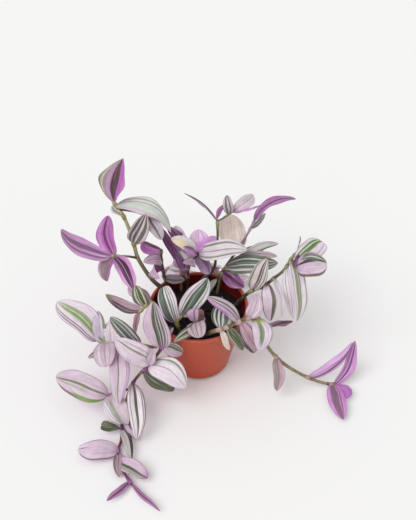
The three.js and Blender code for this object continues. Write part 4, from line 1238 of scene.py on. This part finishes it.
@dataclass(frozen=True)
class Pot:
    """The thin-walled nursery pot, turned from one profile, with a ring of drainage holes.

    Attributes:
        top_radius: The radius of the lip.
        height: The height of the lip's top.
        wall: How thick the wall and the floor are.
        lip_height: How high the lip is.
        lip_step: How far the lip stands out from the wall.
        rim_round: How high the round of the lip's top is.
        foot_radius: The wall's radius where the round of the foot ends.
        foot_round: How high the round of the foot is.
        base_radius: The radius of the flat base.
        hollow_radius: The radius of the shallow hollow in the middle of the base.
        hollow_edge: How wide the slope at the hollow's edge is.
        hollow_depth: How deep the hollow is.
        segments: How many points each ring has round the pot.
        drains: How many drainage holes there are.
        drain_radius: The radius of a hole.
        drain_circle: The radius of the circle that the holes lie on.
        drain_sides: How many points each ring of a hole has.
    """

    top_radius: float = 60.0
    height: float = 95.0
    wall: float = 1.6
    lip_height: float = 4.0
    lip_step: float = 2.0
    rim_round: float = 1.1
    foot_radius: float = 38.5
    foot_round: float = 8.0
    base_radius: float = 31.0
    hollow_radius: float = 12.0
    hollow_edge: float = 1.2
    hollow_depth: float = 0.35
    segments: int = 144
    drains: int = 6
    drain_radius: float = 4.0
    drain_circle: float = 21.0
    drain_sides: int = 40

    @property
    def lip(self) -> float:
        """Give the height where the lip starts."""
        return self.height - self.lip_height

    @property
    def lean(self) -> float:
        """Give how much the wall's radius grows for each unit of height."""
        return (self.top_radius - self.lip_step - self.foot_radius) / (self.lip - self.foot_round)

    def wall_radius(self, height: float) -> float:
        """Give the outer radius of the straight wall, which leans outwards evenly.

        Args:
            height: The height over the surface that the pot stands on.

        Returns:
            The radius.
        """
        return self.foot_radius + self.lean * (height - self.foot_round)

    def foot(self, inset: float) -> list[tuple[float, float]]:
        """Round the foot: a quarter of an ellipse from the flat base to the wall.

        Args:
            inset: How far inside the outer face it lies, 0 for the outer face itself.

        Returns:
            Its points, as radius and height, from the base up.
        """
        turn = np.linspace(0, math.pi / 2, 9)
        wide = self.foot_radius - self.base_radius
        radius = self.base_radius - inset * 0.6 + wide * np.sin(turn)
        height = inset + (self.foot_round - inset) * (1 - np.cos(turn))
        return list(zip((radius - inset * 0.4).tolist(), height.tolist()))

    def profile(self) -> np.ndarray:
        """List the pot's outline, from under its centre, over the lip, to the floor inside it.

        Returns:
            The radius and height of each point, one point a row.
        """
        low = self.lip
        top = self.top_radius
        inner = top - self.lip_step - self.wall
        levels = (20.0, 35.0, 50.0, 65.0, 80.0, low - 0.6, low - 0.1)
        wall = [(self.wall_radius(h), h) for h in levels]
        inside = [(r - self.wall, h) for r, h in reversed(wall)]
        turn = np.linspace(0, math.pi, 9)
        radii = (top + inner) / 2 + (top - inner) / 2 * np.cos(turn)
        rim = zip(radii, self.height - self.rim_round + self.rim_round * np.sin(turn))
        points = [
            (2.0, self.hollow_depth), (self.hollow_radius, self.hollow_depth),
            (self.hollow_radius + self.hollow_edge, 0.0), (self.base_radius - 1.5, 0.0),
            *self.foot(0.0), *wall,
            (top - 1.2, low), (top - 0.5, low + 0.1), (top - 0.1, low + 0.5), (top, low + 1.0),
            *rim,
            (inner, low + 1.0), (inner - 0.05, low),
            *inside, *reversed(self.foot(self.wall)), (2.0, self.wall),
        ]
        return np.array(points)

    def build(self, finishes: "Finishes") -> bpy.types.Object:
        """Turn the profile round the pot's axis and cut the drainage holes.

        Args:
            finishes: The scene's materials.

        Returns:
            The pot.
        """
        radius, height = self.profile().T
        turn = np.linspace(0, 2 * math.pi, self.segments, endpoint=False)
        rings = np.stack([
            radius[:, None] * np.cos(turn), radius[:, None] * np.sin(turn),
            np.repeat(height[:, None], self.segments, axis=1),
        ], axis=-1)
        skin = loft(rings, np.array([0, 0, height[0]]), np.array([0, 0, height[-1]]))
        made = make_object("nursery_pot", skin, [finishes.plastic])
        self.drain(made)
        dress(made, "pot_plastic", "pot")
        return made

    def drain(self, made: bpy.types.Object) -> None:
        """Cut the drainage holes, six round ones in a ring.

        Each is a round bar from under the base to above the floor, taken away from the pot.

        Args:
            made: The pot.
        """
        turn = np.linspace(0, 2 * math.pi, self.drain_sides, endpoint=False)
        ends = np.array([[0, 0, -3.0], [0, 0, 4.0]])
        bars = []
        for angle in np.arange(self.drains) * 2 * math.pi / self.drains:
            x = self.drain_circle * math.cos(angle) + self.drain_radius * np.cos(turn)
            y = self.drain_circle * math.sin(angle) + self.drain_radius * np.sin(turn)
            ring = np.stack([x, y, np.zeros_like(x)], axis=-1)
            rings = ring[None] + ends[:, None]
            middle = rings.mean(axis=1)
            bars.append(loft(rings, middle[0], middle[1]))
        cutter = make_object("drain_cutter", joined(bars), [])
        cut = made.modifiers.new("drains", "BOOLEAN")
        cut.operation = "DIFFERENCE"
        cut.solver = "EXACT"
        cut.object = cutter
        graph = bpy.context.evaluated_depsgraph_get()
        solid = bpy.data.meshes.new_from_object(made.evaluated_get(graph))
        made.modifiers.remove(cut)
        made.data = solid
        bpy.data.objects.remove(cutter)


@dataclass(frozen=True)
class Compost:
    """The compost: a rough body that fills the pot, with crumbs of peat and bark on top.

    Attributes:
        top: The height of the compost's top.
        gap: How far the body stays from the pot's wall and floor.
        relief: How rough the top is.
        sunk: How far the rough top's mean level lies under that height.
        edge_drop: How far under the top the body leaves the wall.
        segments: How many points each ring of the body has.
        wall_rings: How many rings lie up the wall.
        top_rings: How many rings lie inwards over the top.
        base_inset: How far inside the pot's flat base the body's lowest ring lies.
        crumbs: How many crumbs lie on top.
        crumb_margin: How far the crumbs stay from the pot's wall.
        crumb_sizes: The least and the greatest size of a crumb.
        crumb_lengths: How many times its size a crumb may be long.
        crumb_shares: How common each of these lengths is.
        crumb_rings: How wide each ring along a crumb is, as a share of its size.
        crumb_uneven: The least and the greatest share by which a point of a ring stands out.
        crumb_jitter: How far along the crumb a point is moved at most, as a share of its size.
        crumb_sides: How many points each ring of a crumb has.
        crumb_flatness: How thick a crumb is for its width.
        crumb_tilt: How far a crumb is tilted at most, in radians.
        crumb_lift: How far a crumb's middle lies over the top, as a share of its size.
        crumb_seed: The seed of the crumbs' random places and shapes.
    """

    top: float = 80.0
    gap: float = 0.4
    relief: float = 1.3
    sunk: float = 0.9
    edge_drop: float = 1.5
    segments: int = 120
    wall_rings: int = 8
    top_rings: int = 43
    base_inset: float = 6.0
    crumbs: int = 620
    crumb_margin: float = 3.5
    crumb_sizes: tuple[float, float] = (0.5, 1.5)
    crumb_lengths: tuple[float, ...] = (1.0, 1.3, 2.2, 3.0)
    crumb_shares: tuple[float, ...] = (0.4, 0.3, 0.2, 0.1)
    crumb_rings: tuple[float, ...] = (0.6, 1.0, 0.65)
    crumb_uneven: tuple[float, float] = (0.7, 1.2)
    crumb_jitter: float = 0.2
    crumb_sides: int = 7
    crumb_flatness: float = 0.7
    crumb_tilt: float = 0.35
    crumb_lift: float = 0.25
    crumb_seed: int = 7

    def height(self, x: np.ndarray, y: np.ndarray) -> np.ndarray:
        """Give the height of the top: sines of several lengths added up, rough but level.

        Args:
            x: Places to the right of the pot's axis.
            y: Places behind it.

        Returns:
            The height at each place.
        """
        waves = (np.sin(0.31 * x + 1.0) * np.sin(0.37 * y), 0.6 * np.sin(0.83 * x + 0.61 * y),
                 0.5 * np.sin(1.9 * x - 1.3 * y + 2.0), 0.35 * np.sin(3.1 * y + 0.4 * x))
        return self.top - self.sunk + self.relief * 0.45 * sum(waves)

    def body(self, pot: Pot) -> Skinned:
        """Make the body: rings up the wall, then rings inwards over the rough top.

        Args:
            pot: The pot that it fills.

        Returns:
            The body.
        """
        turn = np.linspace(0, 2 * math.pi, self.segments, endpoint=False)
        up = np.linspace(pot.foot_round, self.top - self.edge_drop, self.wall_rings)
        wall = np.array([pot.wall_radius(h) - pot.wall - self.gap for h in up])
        inwards = np.linspace(1, 0.02, self.top_rings + 1)[1:] * float(wall[-1])
        radius = np.concatenate([[pot.base_radius - self.base_inset], wall, inwards])
        x = radius[:, None] * np.cos(turn)
        y = radius[:, None] * np.sin(turn)
        base = pot.wall + self.gap
        level = np.concatenate([[base], up, np.zeros(len(inwards))])
        z = np.repeat(level[:, None], self.segments, axis=1)
        rough = slice(-self.top_rings, None)
        z[rough] = self.height(x[rough], y[rough])
        rings = np.stack([x, y, z], axis=-1)
        return loft(rings, np.array([0, 0, base]), rings[-1].mean(axis=0))

    def crumb(self, rng: np.random.Generator, reach: float) -> Skinned:
        """Make one crumb: a lump of three uneven rings, some long like a chip of bark.

        Its rings lie at -0.7, 0 and 0.7 of its length along it, each an ellipse
        (cos a, flatness sin a) of uneven radius, and it lies turned and tilted on the top.

        Args:
            rng: The source of its random place, size and shape.
            reach: How far from the pot's axis it may lie.

        Returns:
            The crumb, with three random numbers that set its brown.
        """
        angle, turn = rng.uniform(0, 2 * math.pi, 2)
        away = reach * math.sqrt(rng.uniform(0, 1))
        x, y = away * math.cos(angle), away * math.sin(angle)
        size = rng.uniform(*self.crumb_sizes)
        long = size * rng.choice(self.crumb_lengths, p=self.crumb_shares)
        grid = (len(self.crumb_rings), self.crumb_sides)
        round_it = np.linspace(0, 2 * math.pi, self.crumb_sides, endpoint=False)
        radii = np.array(self.crumb_rings)[:, None] * rng.uniform(*self.crumb_uneven, grid)
        jitter = rng.uniform(-self.crumb_jitter, self.crumb_jitter, grid)
        u = np.linspace(-0.7, 0.7, len(self.crumb_rings))[:, None] * long + jitter * size
        v = radii * size * np.cos(round_it)
        w = radii * size * np.sin(round_it) * self.crumb_flatness
        tilt = rng.uniform(-self.crumb_tilt, self.crumb_tilt)
        level = np.array([math.cos(turn), math.sin(turn), 0.0])
        ahead = level * math.cos(tilt) + np.array([0.0, 0.0, math.sin(tilt)])
        aside = np.array([-math.sin(turn), math.cos(turn), 0.0])
        square = np.cross(ahead, aside)
        ground = float(self.height(np.array(x), np.array(y)))
        middle = np.array([x, y, ground + self.crumb_lift * size])
        rings = middle + u[..., None] * ahead + v[..., None] * aside + w[..., None] * square
        made = loft(rings, middle - ahead * long, middle + ahead * long)
        carried(made, "shade_of", (rng.uniform(0, 1), rng.uniform(0, 1), rng.uniform(0, 1)))
        return made

    def build(self, pot: Pot, finishes: "Finishes") -> None:
        """Make the body and the crumbs.

        Args:
            pot: The pot that holds the compost.
            finishes: The scene's materials.
        """
        dress(make_object("compost_body", self.body(pot), [finishes.compost]), "compost", "soil")
        rng = np.random.default_rng(self.crumb_seed)
        reach = pot.wall_radius(self.top) - pot.wall - self.crumb_margin
        crumbs = joined([self.crumb(rng, reach) for _ in range(self.crumbs)])
        dress(make_object("compost_crumbs", crumbs, [finishes.crumb]), "compost")


@dataclass(frozen=True)
class LeafFinish:
    """The finish of a leaf's upper side or underside, driven by what its points carry.

    Attributes:
        name: The material's name.
        ground: The carried name of the main colour.
        shade: The carried name of the one colour for all stripes, or nothing for their own.
        roughness: The width of the highlights.
        ribs: The depth of the fine lengthwise ribs, in millimetres.
        saturation: How strong the colours are, 1 for as they are carried.
        streaks: How fine, how rare, how strong and of which colour each set of streaks is.
        apart: How far apart the noise of two leaves is read.
        stretch: How fast the noise changes along the blade, low for long streaks.
        wobble: How far the stripes' edges wander, as a share of the half width.
        fineness: How fine the streaks are that thin the stripes out.
        thinning: How much of a stripe they take away.
        lag: How unevenly the stripes begin and end, as a share of the length.
        soft_start: How softly a stripe begins, as a share of the length.
        soft_stop: How softly it ends.
        rib_count: How many ribs each half of the blade has.
        foot_tone: The colour that the blade takes a little of next to the stem.
        foot_reach: The share of the blade's length that this reaches.
        foot_share: How much of it shows at the stem.
        margin_start: The share of the half width where the margin starts to show.
        margin_full: The share where it shows in full.
        margin_share: How much of it shows there.
        translucency: How much of the light goes through the leaf's skin.
        translucent_depth: How deep that light goes, in millimetres.
    """

    name: str
    ground: str
    shade: str
    roughness: float
    ribs: float
    saturation: float
    streaks: tuple[tuple[float, float, float, Colour], ...]
    apart: float = 57.0
    stretch: float = 1.6
    wobble: float = 0.1
    fineness: float = 22.0
    thinning: float = 0.28
    lag: float = 0.7
    soft_start: float = 0.07
    soft_stop: float = 0.1
    rib_count: int = 11
    foot_tone: Colour = (150, 104, 130)
    foot_reach: float = 0.2
    foot_share: float = 0.35
    margin_start: float = 0.9
    margin_full: float = 0.975
    margin_share: float = 0.9
    translucency: float = 0.12
    translucent_depth: float = 1.5

    def band(self, graph: Graph, place: int, s: Socket, t: Socket, streak: Socket) -> Socket:
        """Work out where one stripe shows.

        It shows where the distance from its centre line is under its half width, fading out
        between 0.86 of it less 0.012 and 1.06 of it plus 0.018, along the part of the blade that
        it reaches, and thins out where the streaks are weak.

        Args:
            graph: The material's graph.
            place: The number of the stripe.
            s: The place across the blade, from -1 to 1.
            t: The place along it, from 0 at the stem to 1.
            streak: How strong the streaks are, from 0 to 1.

        Returns:
            How much of the stripe shows, from 0 to 1.
        """
        at, half, _ = graph.parts(graph.carried(f"stripe_{place}").outputs["Vector"])
        start, stop, strength = graph.parts(graph.carried(f"reach_{place}").outputs["Vector"])
        off = graph.math("ABSOLUTE", graph.math("SUBTRACT", s, at))
        low = graph.math("SUBTRACT", graph.math("MULTIPLY", half, 0.86), 0.012)
        high = graph.math("ADD", graph.math("MULTIPLY", half, 1.06), 0.018)
        beside = graph.math("SUBTRACT", 1.0, graph.step(off, low, high))
        before = graph.math("SUBTRACT", start, self.soft_start)
        begun = graph.step(t, before, graph.math("ADD", start, self.soft_start))
        before = graph.math("SUBTRACT", stop, self.soft_stop)
        ended = graph.step(t, before, graph.math("ADD", stop, self.soft_stop))
        within = graph.math("MULTIPLY", begun, graph.math("SUBTRACT", 1.0, ended))
        shown = graph.math("MULTIPLY", graph.math("MULTIPLY", beside, within), strength)
        thinned = graph.math("MULTIPLY", streak, self.thinning)
        thinned = graph.math("ADD", 1 - self.thinning, thinned)
        return graph.math("MULTIPLY", shown, thinned)

    def build(self) -> bpy.types.Material:
        """Make the material: the ground colour, the streaks, the stripes, the margin and the foot.

        The noise that draws them is read at a place made of s, across the blade, t, along it, and
        the leaf's seed, so the marks run along the blade and no two leaves are alike.

        Returns:
            The material.
        """
        graph = Graph(self.name)
        s, t, seed = graph.parts(graph.carried("blade").outputs["Vector"])
        apart = graph.math("MULTIPLY", seed, self.apart)
        slow = graph.math("MULTIPLY", t, self.stretch)
        wobble = graph.noise(graph.place(graph.math("MULTIPLY", s, 3.0), slow, apart), 1.6, 3.0)
        shift = graph.math("MULTIPLY", graph.math("SUBTRACT", wobble, 0.5), self.wobble)
        ragged = graph.math("ADD", s, shift)
        fine = graph.math("MULTIPLY", s, self.fineness)
        streaks = graph.noise(graph.place(fine, slow, apart), 1.0, 2.0)
        streak = graph.step(streaks, 0.36, 0.56)
        lag = graph.math("MULTIPLY", graph.math("SUBTRACT", streaks, 0.5), self.lag)
        reach = graph.math("ADD", t, lag)
        colour = graph.carried(self.ground).outputs["Color"]
        for scale, low, strength, tone in self.streaks:
            lines = graph.noise(graph.place(graph.math("MULTIPLY", s, scale), slow, apart), 1.0, 1.0)
            drawn = graph.math("MULTIPLY", graph.step(lines, low, low + 0.09), strength)
            colour = graph.mix(drawn, colour, linear(tone))
        for place in range(STRIPES):
            shown = self.band(graph, place, ragged, reach, streak)
            tint = graph.carried(self.shade or f"tint_{place}").outputs["Color"]
            colour = graph.mix(shown, colour, tint)
        beside = graph.math("ABSOLUTE", s)
        edge = graph.step(beside, self.margin_start, self.margin_full)
        edge = graph.math("MULTIPLY", edge, self.margin_share)
        colour = graph.mix(edge, colour, graph.carried("margin").outputs["Color"])
        broad = graph.place(graph.math("MULTIPLY", s, 1.2), graph.math("MULTIPLY", t, 3.0), apart)
        tone = graph.math("ADD", 0.8, graph.math("MULTIPLY", graph.noise(broad, 2.0), 0.38))
        near = graph.math("SUBTRACT", 1.0, graph.step(t, 0.0, self.foot_reach))
        foot = graph.math("MULTIPLY", near, self.foot_share)
        colour = graph.mix(foot, colour, linear(self.foot_tone))
        hue = graph.node("HueSaturation", {
            "Saturation": self.saturation, "Value": tone, "Color": colour,
        })
        ribs = graph.math("SINE", graph.math("MULTIPLY", s, 2 * math.pi * self.rib_count))
        cells = graph.noise(graph.object_place(), 1800.0, 2.0)
        relief = graph.math("ADD", ribs, graph.math("MULTIPLY", cells, 1.2))
        midrib = graph.step(beside, 0.0, 0.07)
        graph.relief(graph.math("ADD", relief, graph.math("MULTIPLY", midrib, 2.0)), self.ribs)
        graph.finish(hue.outputs[0], self.roughness, 0.45)
        graph.shader.inputs["Subsurface Weight"].default_value = self.translucency
        graph.shader.inputs["Subsurface Scale"].default_value = self.translucent_depth * MM
        return graph.material


@dataclass(frozen=True)
class StalkFinish:
    """The finish of the stems: the carried colour, streaked along the stem.

    Attributes:
        roughness: The width of the highlights.
        share: How much of each mark's colour shows.
        wine: The colour of the streaks.
        straw: The colour of the pale blots.
        brown: The colour of the dark blots.
    """

    roughness: float = 0.42
    share: float = 0.45
    wine: Colour = (92, 44, 58)
    straw: Colour = (184, 178, 142)
    brown: Colour = (58, 48, 34)

    def build(self) -> bpy.types.Material:
        """Make the material: the carried colour with wine-red streaks, pale and dark blots.

        Returns:
            The material.
        """
        graph = Graph("stalk")
        flow = graph.carried("flow").outputs["Vector"]
        across, square, along = graph.parts(flow)
        wide = graph.math("MULTIPLY", across, 3.0)
        deep = graph.math("MULTIPLY", square, 3.0)
        streaks = graph.noise(graph.place(wide, deep, along), 1.6, 3.0)
        blots = graph.noise(flow, 1.1, 2.0)
        colour = graph.carried("skin").outputs["Color"]
        streaked = graph.math("MULTIPLY", graph.step(streaks, 0.45, 0.7), self.share)
        colour = graph.mix(streaked, colour, linear(self.wine))
        pale = graph.math("MULTIPLY", graph.step(blots, 0.52, 0.7), self.share)
        colour = graph.mix(pale, colour, linear(self.straw))
        low = graph.math("SUBTRACT", 1.0, graph.step(blots, 0.3, 0.42))
        colour = graph.mix(graph.math("MULTIPLY", low, self.share), colour, linear(self.brown))
        cells = graph.noise(graph.object_place(), 1500.0, 2.0)
        graph.relief(graph.math("ADD", streaks, graph.math("MULTIPLY", cells, 0.3)), 0.12)
        graph.finish(colour, self.roughness, 0.45)
        return graph.material


@dataclass(frozen=True)
class PlasticFinish:
    """The pot's finish: satin plastic, terracotta outside, deep red inside as painted shade, and a
    paler lip as painted highlight.

    Attributes:
        pot: The pot that it goes on.
        outside: The colour of the outer face.
        inside: The colour of the inner face, darkened as painted shade.
        rim: A paler colour on the lip, a painted highlight where it catches the light.
        lip_highlight_share: How much of the rim's colour shows.
        roughness: The width of the highlights.
        ring_pitch: How far apart the fine rings of the surface are.
    """

    pot: Pot = Pot()
    outside: Colour = (184, 68, 32)
    inside: Colour = (100, 16, 14)
    rim: Colour = (190, 96, 76)
    lip_highlight_share: float = 0.7
    roughness: float = 0.42
    ring_pitch: float = 0.9

    def build(self) -> bpy.types.Material:
        """Make the material: a point is outside where it lies past the middle of the wall.

        Returns:
            The material.
        """
        graph = Graph("pot_plastic")
        place = graph.object_place()
        x, y, z = graph.parts(place)
        across = graph.math("MULTIPLY", x, x)
        away = graph.math("SQRT", graph.math("ADD", across, graph.math("MULTIPLY", y, y)))
        lean = self.pot.lean
        start = self.pot.foot_radius - self.pot.foot_round * lean - self.pot.wall / 2
        wall = graph.math("ADD", graph.math("MULTIPLY", z, lean), start * MM)
        outer = graph.step(graph.math("SUBTRACT", away, wall), -0.3 * MM, 0.3 * MM)
        # painted highlight: everything above the lip's start, inside and out, takes the paler rim
        # colour
        high = graph.step(z, (self.pot.lip + 0.2) * MM, (self.pot.lip + 1.5) * MM)
        clouds = graph.noise(place, 38.0, 3.0)
        fine = graph.noise(place, 900.0, 2.0)
        # painted shade: the inner face takes the darker red, standing in for the shade inside the pot
        colour = graph.mix(outer, linear(self.inside), linear(self.outside))
        lip = graph.math("MULTIPLY", high, self.lip_highlight_share)
        colour = graph.mix(lip, colour, linear(self.rim))
        tone = graph.math("ADD", 0.93, graph.math("MULTIPLY", clouds, 0.14))
        hue = graph.node("HueSaturation", {"Value": tone, "Color": colour})
        rings = graph.math("SINE", graph.math("MULTIPLY", z, 2 * math.pi / (self.ring_pitch * MM)))
        graph.relief(graph.math("ADD", fine, graph.math("MULTIPLY", rings, 0.08)), 0.05)
        graph.finish(hue.outputs[0], self.roughness, 0.4)
        return graph.material


@dataclass(frozen=True)
class CompostFinish:
    """The finish of the compost: dark peat, made near-black as painted shade from the leaves above,
    darker in places at random.

    Attributes:
        dark: The colour of the darker places.
        light: The colour of the lighter ones.
    """

    # both colours are the peat's own dark brown, darkened further as painted shade
    dark: Colour = (12, 8, 8)
    light: Colour = (40, 28, 24)

    def build(self) -> bpy.types.Material:
        """Make the material: two noises, fine and broad, choose between the two colours.

        Returns:
            The material.
        """
        graph = Graph("compost")
        place = graph.object_place()
        grains = graph.noise(place, 420.0, 5.0)
        patches = graph.noise(place, 90.0, 3.0)
        both = graph.math("MULTIPLY", graph.math("ADD", grains, patches), 0.5)
        colour = graph.mix(graph.step(both, 0.42, 0.66), linear(self.dark), linear(self.light))
        graph.relief(grains, 1.2)
        graph.finish(colour, 0.85, 0.3)
        return graph.material


@dataclass(frozen=True)
class CrumbFinish:
    """The finish of the crumbs: each has its own brown, and a few are pale grit.

    Attributes:
        dark: The darkest brown.
        light: The lightest brown.
        grit: The colour of the pale crumbs.
        grain: The colour of the fine grain that all of them have.
    """

    dark: Colour = (14, 9, 9)
    light: Colour = (64, 46, 38)
    grit: Colour = (150, 140, 128)
    grain: Colour = (24, 16, 14)

    def build(self) -> bpy.types.Material:
        """Make the material: a crumb's own random numbers choose its colour.

        Returns:
            The material.
        """
        graph = Graph("crumb")
        first, second, _ = graph.parts(graph.carried("shade_of").outputs["Vector"])
        grains = graph.noise(graph.object_place(), 700.0, 4.0)
        colour = graph.mix(first, linear(self.dark), linear(self.light))
        colour = graph.mix(graph.step(second, 0.96, 0.97), colour, linear(self.grit))
        colour = graph.mix(graph.math("MULTIPLY", grains, 0.5), colour, linear(self.grain))
        graph.relief(grains, 0.5)
        graph.finish(colour, 0.8, 0.3)
        return graph.material


@dataclass(frozen=True)
class FloorFinish:
    """The finish of the pale floor, with a faint glow of painted light that lifts the shadows on it.

    Attributes:
        tint: Its colour.
        cloud: The colour of its faint clouds.
        glow: How strongly it glows, as painted light.
    """

    tint: Colour = (240, 240, 240)
    cloud: Colour = (236, 235, 234)
    glow: float = 0.055

    def build(self) -> bpy.types.Material:
        """Make the material: a plain colour with clouds that hardly show.

        Returns:
            The material.
        """
        graph = Graph("floor")
        soft = graph.noise(graph.object_place(), 3.0, 2.0)
        clouds = graph.math("MULTIPLY", soft, 0.1)
        colour = graph.mix(clouds, linear(self.tint), linear(self.cloud))
        graph.finish(colour, 0.9, 0.1)
        # painted light: the floor glows faintly, lifting its soft shadows and the shade under the
        # leaves
        graph.shader.inputs["Emission Color"].default_value = (1.0, 0.998, 0.994, 1.0)
        graph.shader.inputs["Emission Strength"].default_value = self.glow
        return graph.material


class Finishes:
    """Every material of the scene, made once."""

    def __init__(self) -> None:
        """Make the materials."""
        self.upper = LeafFinish("leaf_upper", "ground", "", 0.42, 0.032, 1.05, (
            (9.0, 0.57, 0.26, (136, 138, 124)), (15.0, 0.58, 0.4, (236, 232, 232)),
            (30.0, 0.59, 0.34, (122, 116, 114)),
        )).build()
        self.under = LeafFinish("leaf_under", "under", "shade", 0.38, 0.04, 0.9, (
            # the first set, broad pale patches, is a painted highlight standing in for light shining
            # through the leaf
            (2.5, 0.5, 0.34, (226, 180, 234)), (7.0, 0.55, 0.4, (118, 66, 112)),
            (16.0, 0.58, 0.3, (220, 172, 222)),
        )).build()
        self.stalk = StalkFinish().build()
        self.plastic = PlasticFinish().build()
        self.compost = CompostFinish().build()
        self.crumb = CrumbFinish().build()
        self.floor = FloorFinish().build()


@dataclass(frozen=True)
class Studio:
    """The pale floor, the soft light and the camera.

    Attributes:
        floor_half: Half the floor's side.
        key_strength: The strength of the soft light from above.
        key_spread: How wide its source looks, in degrees.
        key_turn: How far it is turned about the X and the Y axis, in degrees.
        room_strength: The strength of the light that the room gives from all sides.
        camera_place: The camera's place, in metres.
        camera_pitch: How far the camera is turned up from looking straight down, in degrees.
        lens: The camera's focal length, in millimetres.
        sensor: The width of its sensor, in millimetres.
    """

    floor_half: float = 6000.0
    key_strength: float = 1.4
    key_spread: float = 42.0
    key_turn: tuple[float, float] = (24.0, -30.0)
    room_strength: float = 0.65
    camera_place: Point = (0.0114, -0.6474, 0.7202)
    camera_pitch: float = 49.4
    lens: float = 51.92
    sensor: float = 36.0

    def floor(self, finishes: Finishes) -> None:
        """Lay the floor under the pot.

        Args:
            finishes: The scene's materials.
        """
        half = self.floor_half
        corners = ((-half, -half, 0), (half, -half, 0), (half, half, 0), (-half, half, 0))
        skin = Skinned(np.array(corners, float), [[0, 1, 2, 3]], [0])
        made = make_object("floor", skin, [finishes.floor])

    def lights(self) -> None:
        """Hang a large soft light at the upper left and let the room glow."""
        world = bpy.data.worlds.new("room")
        world.use_nodes = True
        background = next(n for n in world.node_tree.nodes if n.type == "BACKGROUND")
        background.inputs["Color"].default_value = (1.0, 0.995, 0.985, 1.0)
        background.inputs["Strength"].default_value = self.room_strength
        bpy.context.scene.world = world
        data = bpy.data.lights.new("soft_key", "SUN")
        data.energy = self.key_strength
        data.angle = math.radians(self.key_spread)
        made = bpy.data.objects.new("soft_key", data)
        made.rotation_euler = (*(math.radians(angle) for angle in self.key_turn), 0.0)
        bpy.context.scene.collection.objects.link(made)

    def camera(self) -> None:
        """Set the camera where the photograph was taken from."""
        data = bpy.data.cameras.new("camera")
        data.lens = self.lens
        data.sensor_width = self.sensor
        made = bpy.data.objects.new("camera", data)
        made.location = self.camera_place
        made.rotation_euler = (math.radians(self.camera_pitch), 0.0, 0.0)
        bpy.context.scene.collection.objects.link(made)
        bpy.context.scene.camera = made

    def build(self, finishes: Finishes) -> None:
        """Set up the whole studio.

        Args:
            finishes: The scene's materials.
        """
        self.floor(finishes)
        self.lights()
        self.camera()
        bpy.context.scene.view_settings.view_transform = "Standard"


def main() -> None:
    """Build the plant, its pot and the studio."""
    logging.basicConfig(level=logging.INFO)
    finishes = Finishes()
    pot = Pot()
    pot.build(finishes)
    Compost().build(pot, finishes)
    for place, shoot in enumerate(SHOOTS):
        shoot.build((place * SHOOT_SEED_STEP + FIRST_SEED) % 1.0, finishes)
    Studio().build(finishes)


if __name__ == "__main__":
    main()
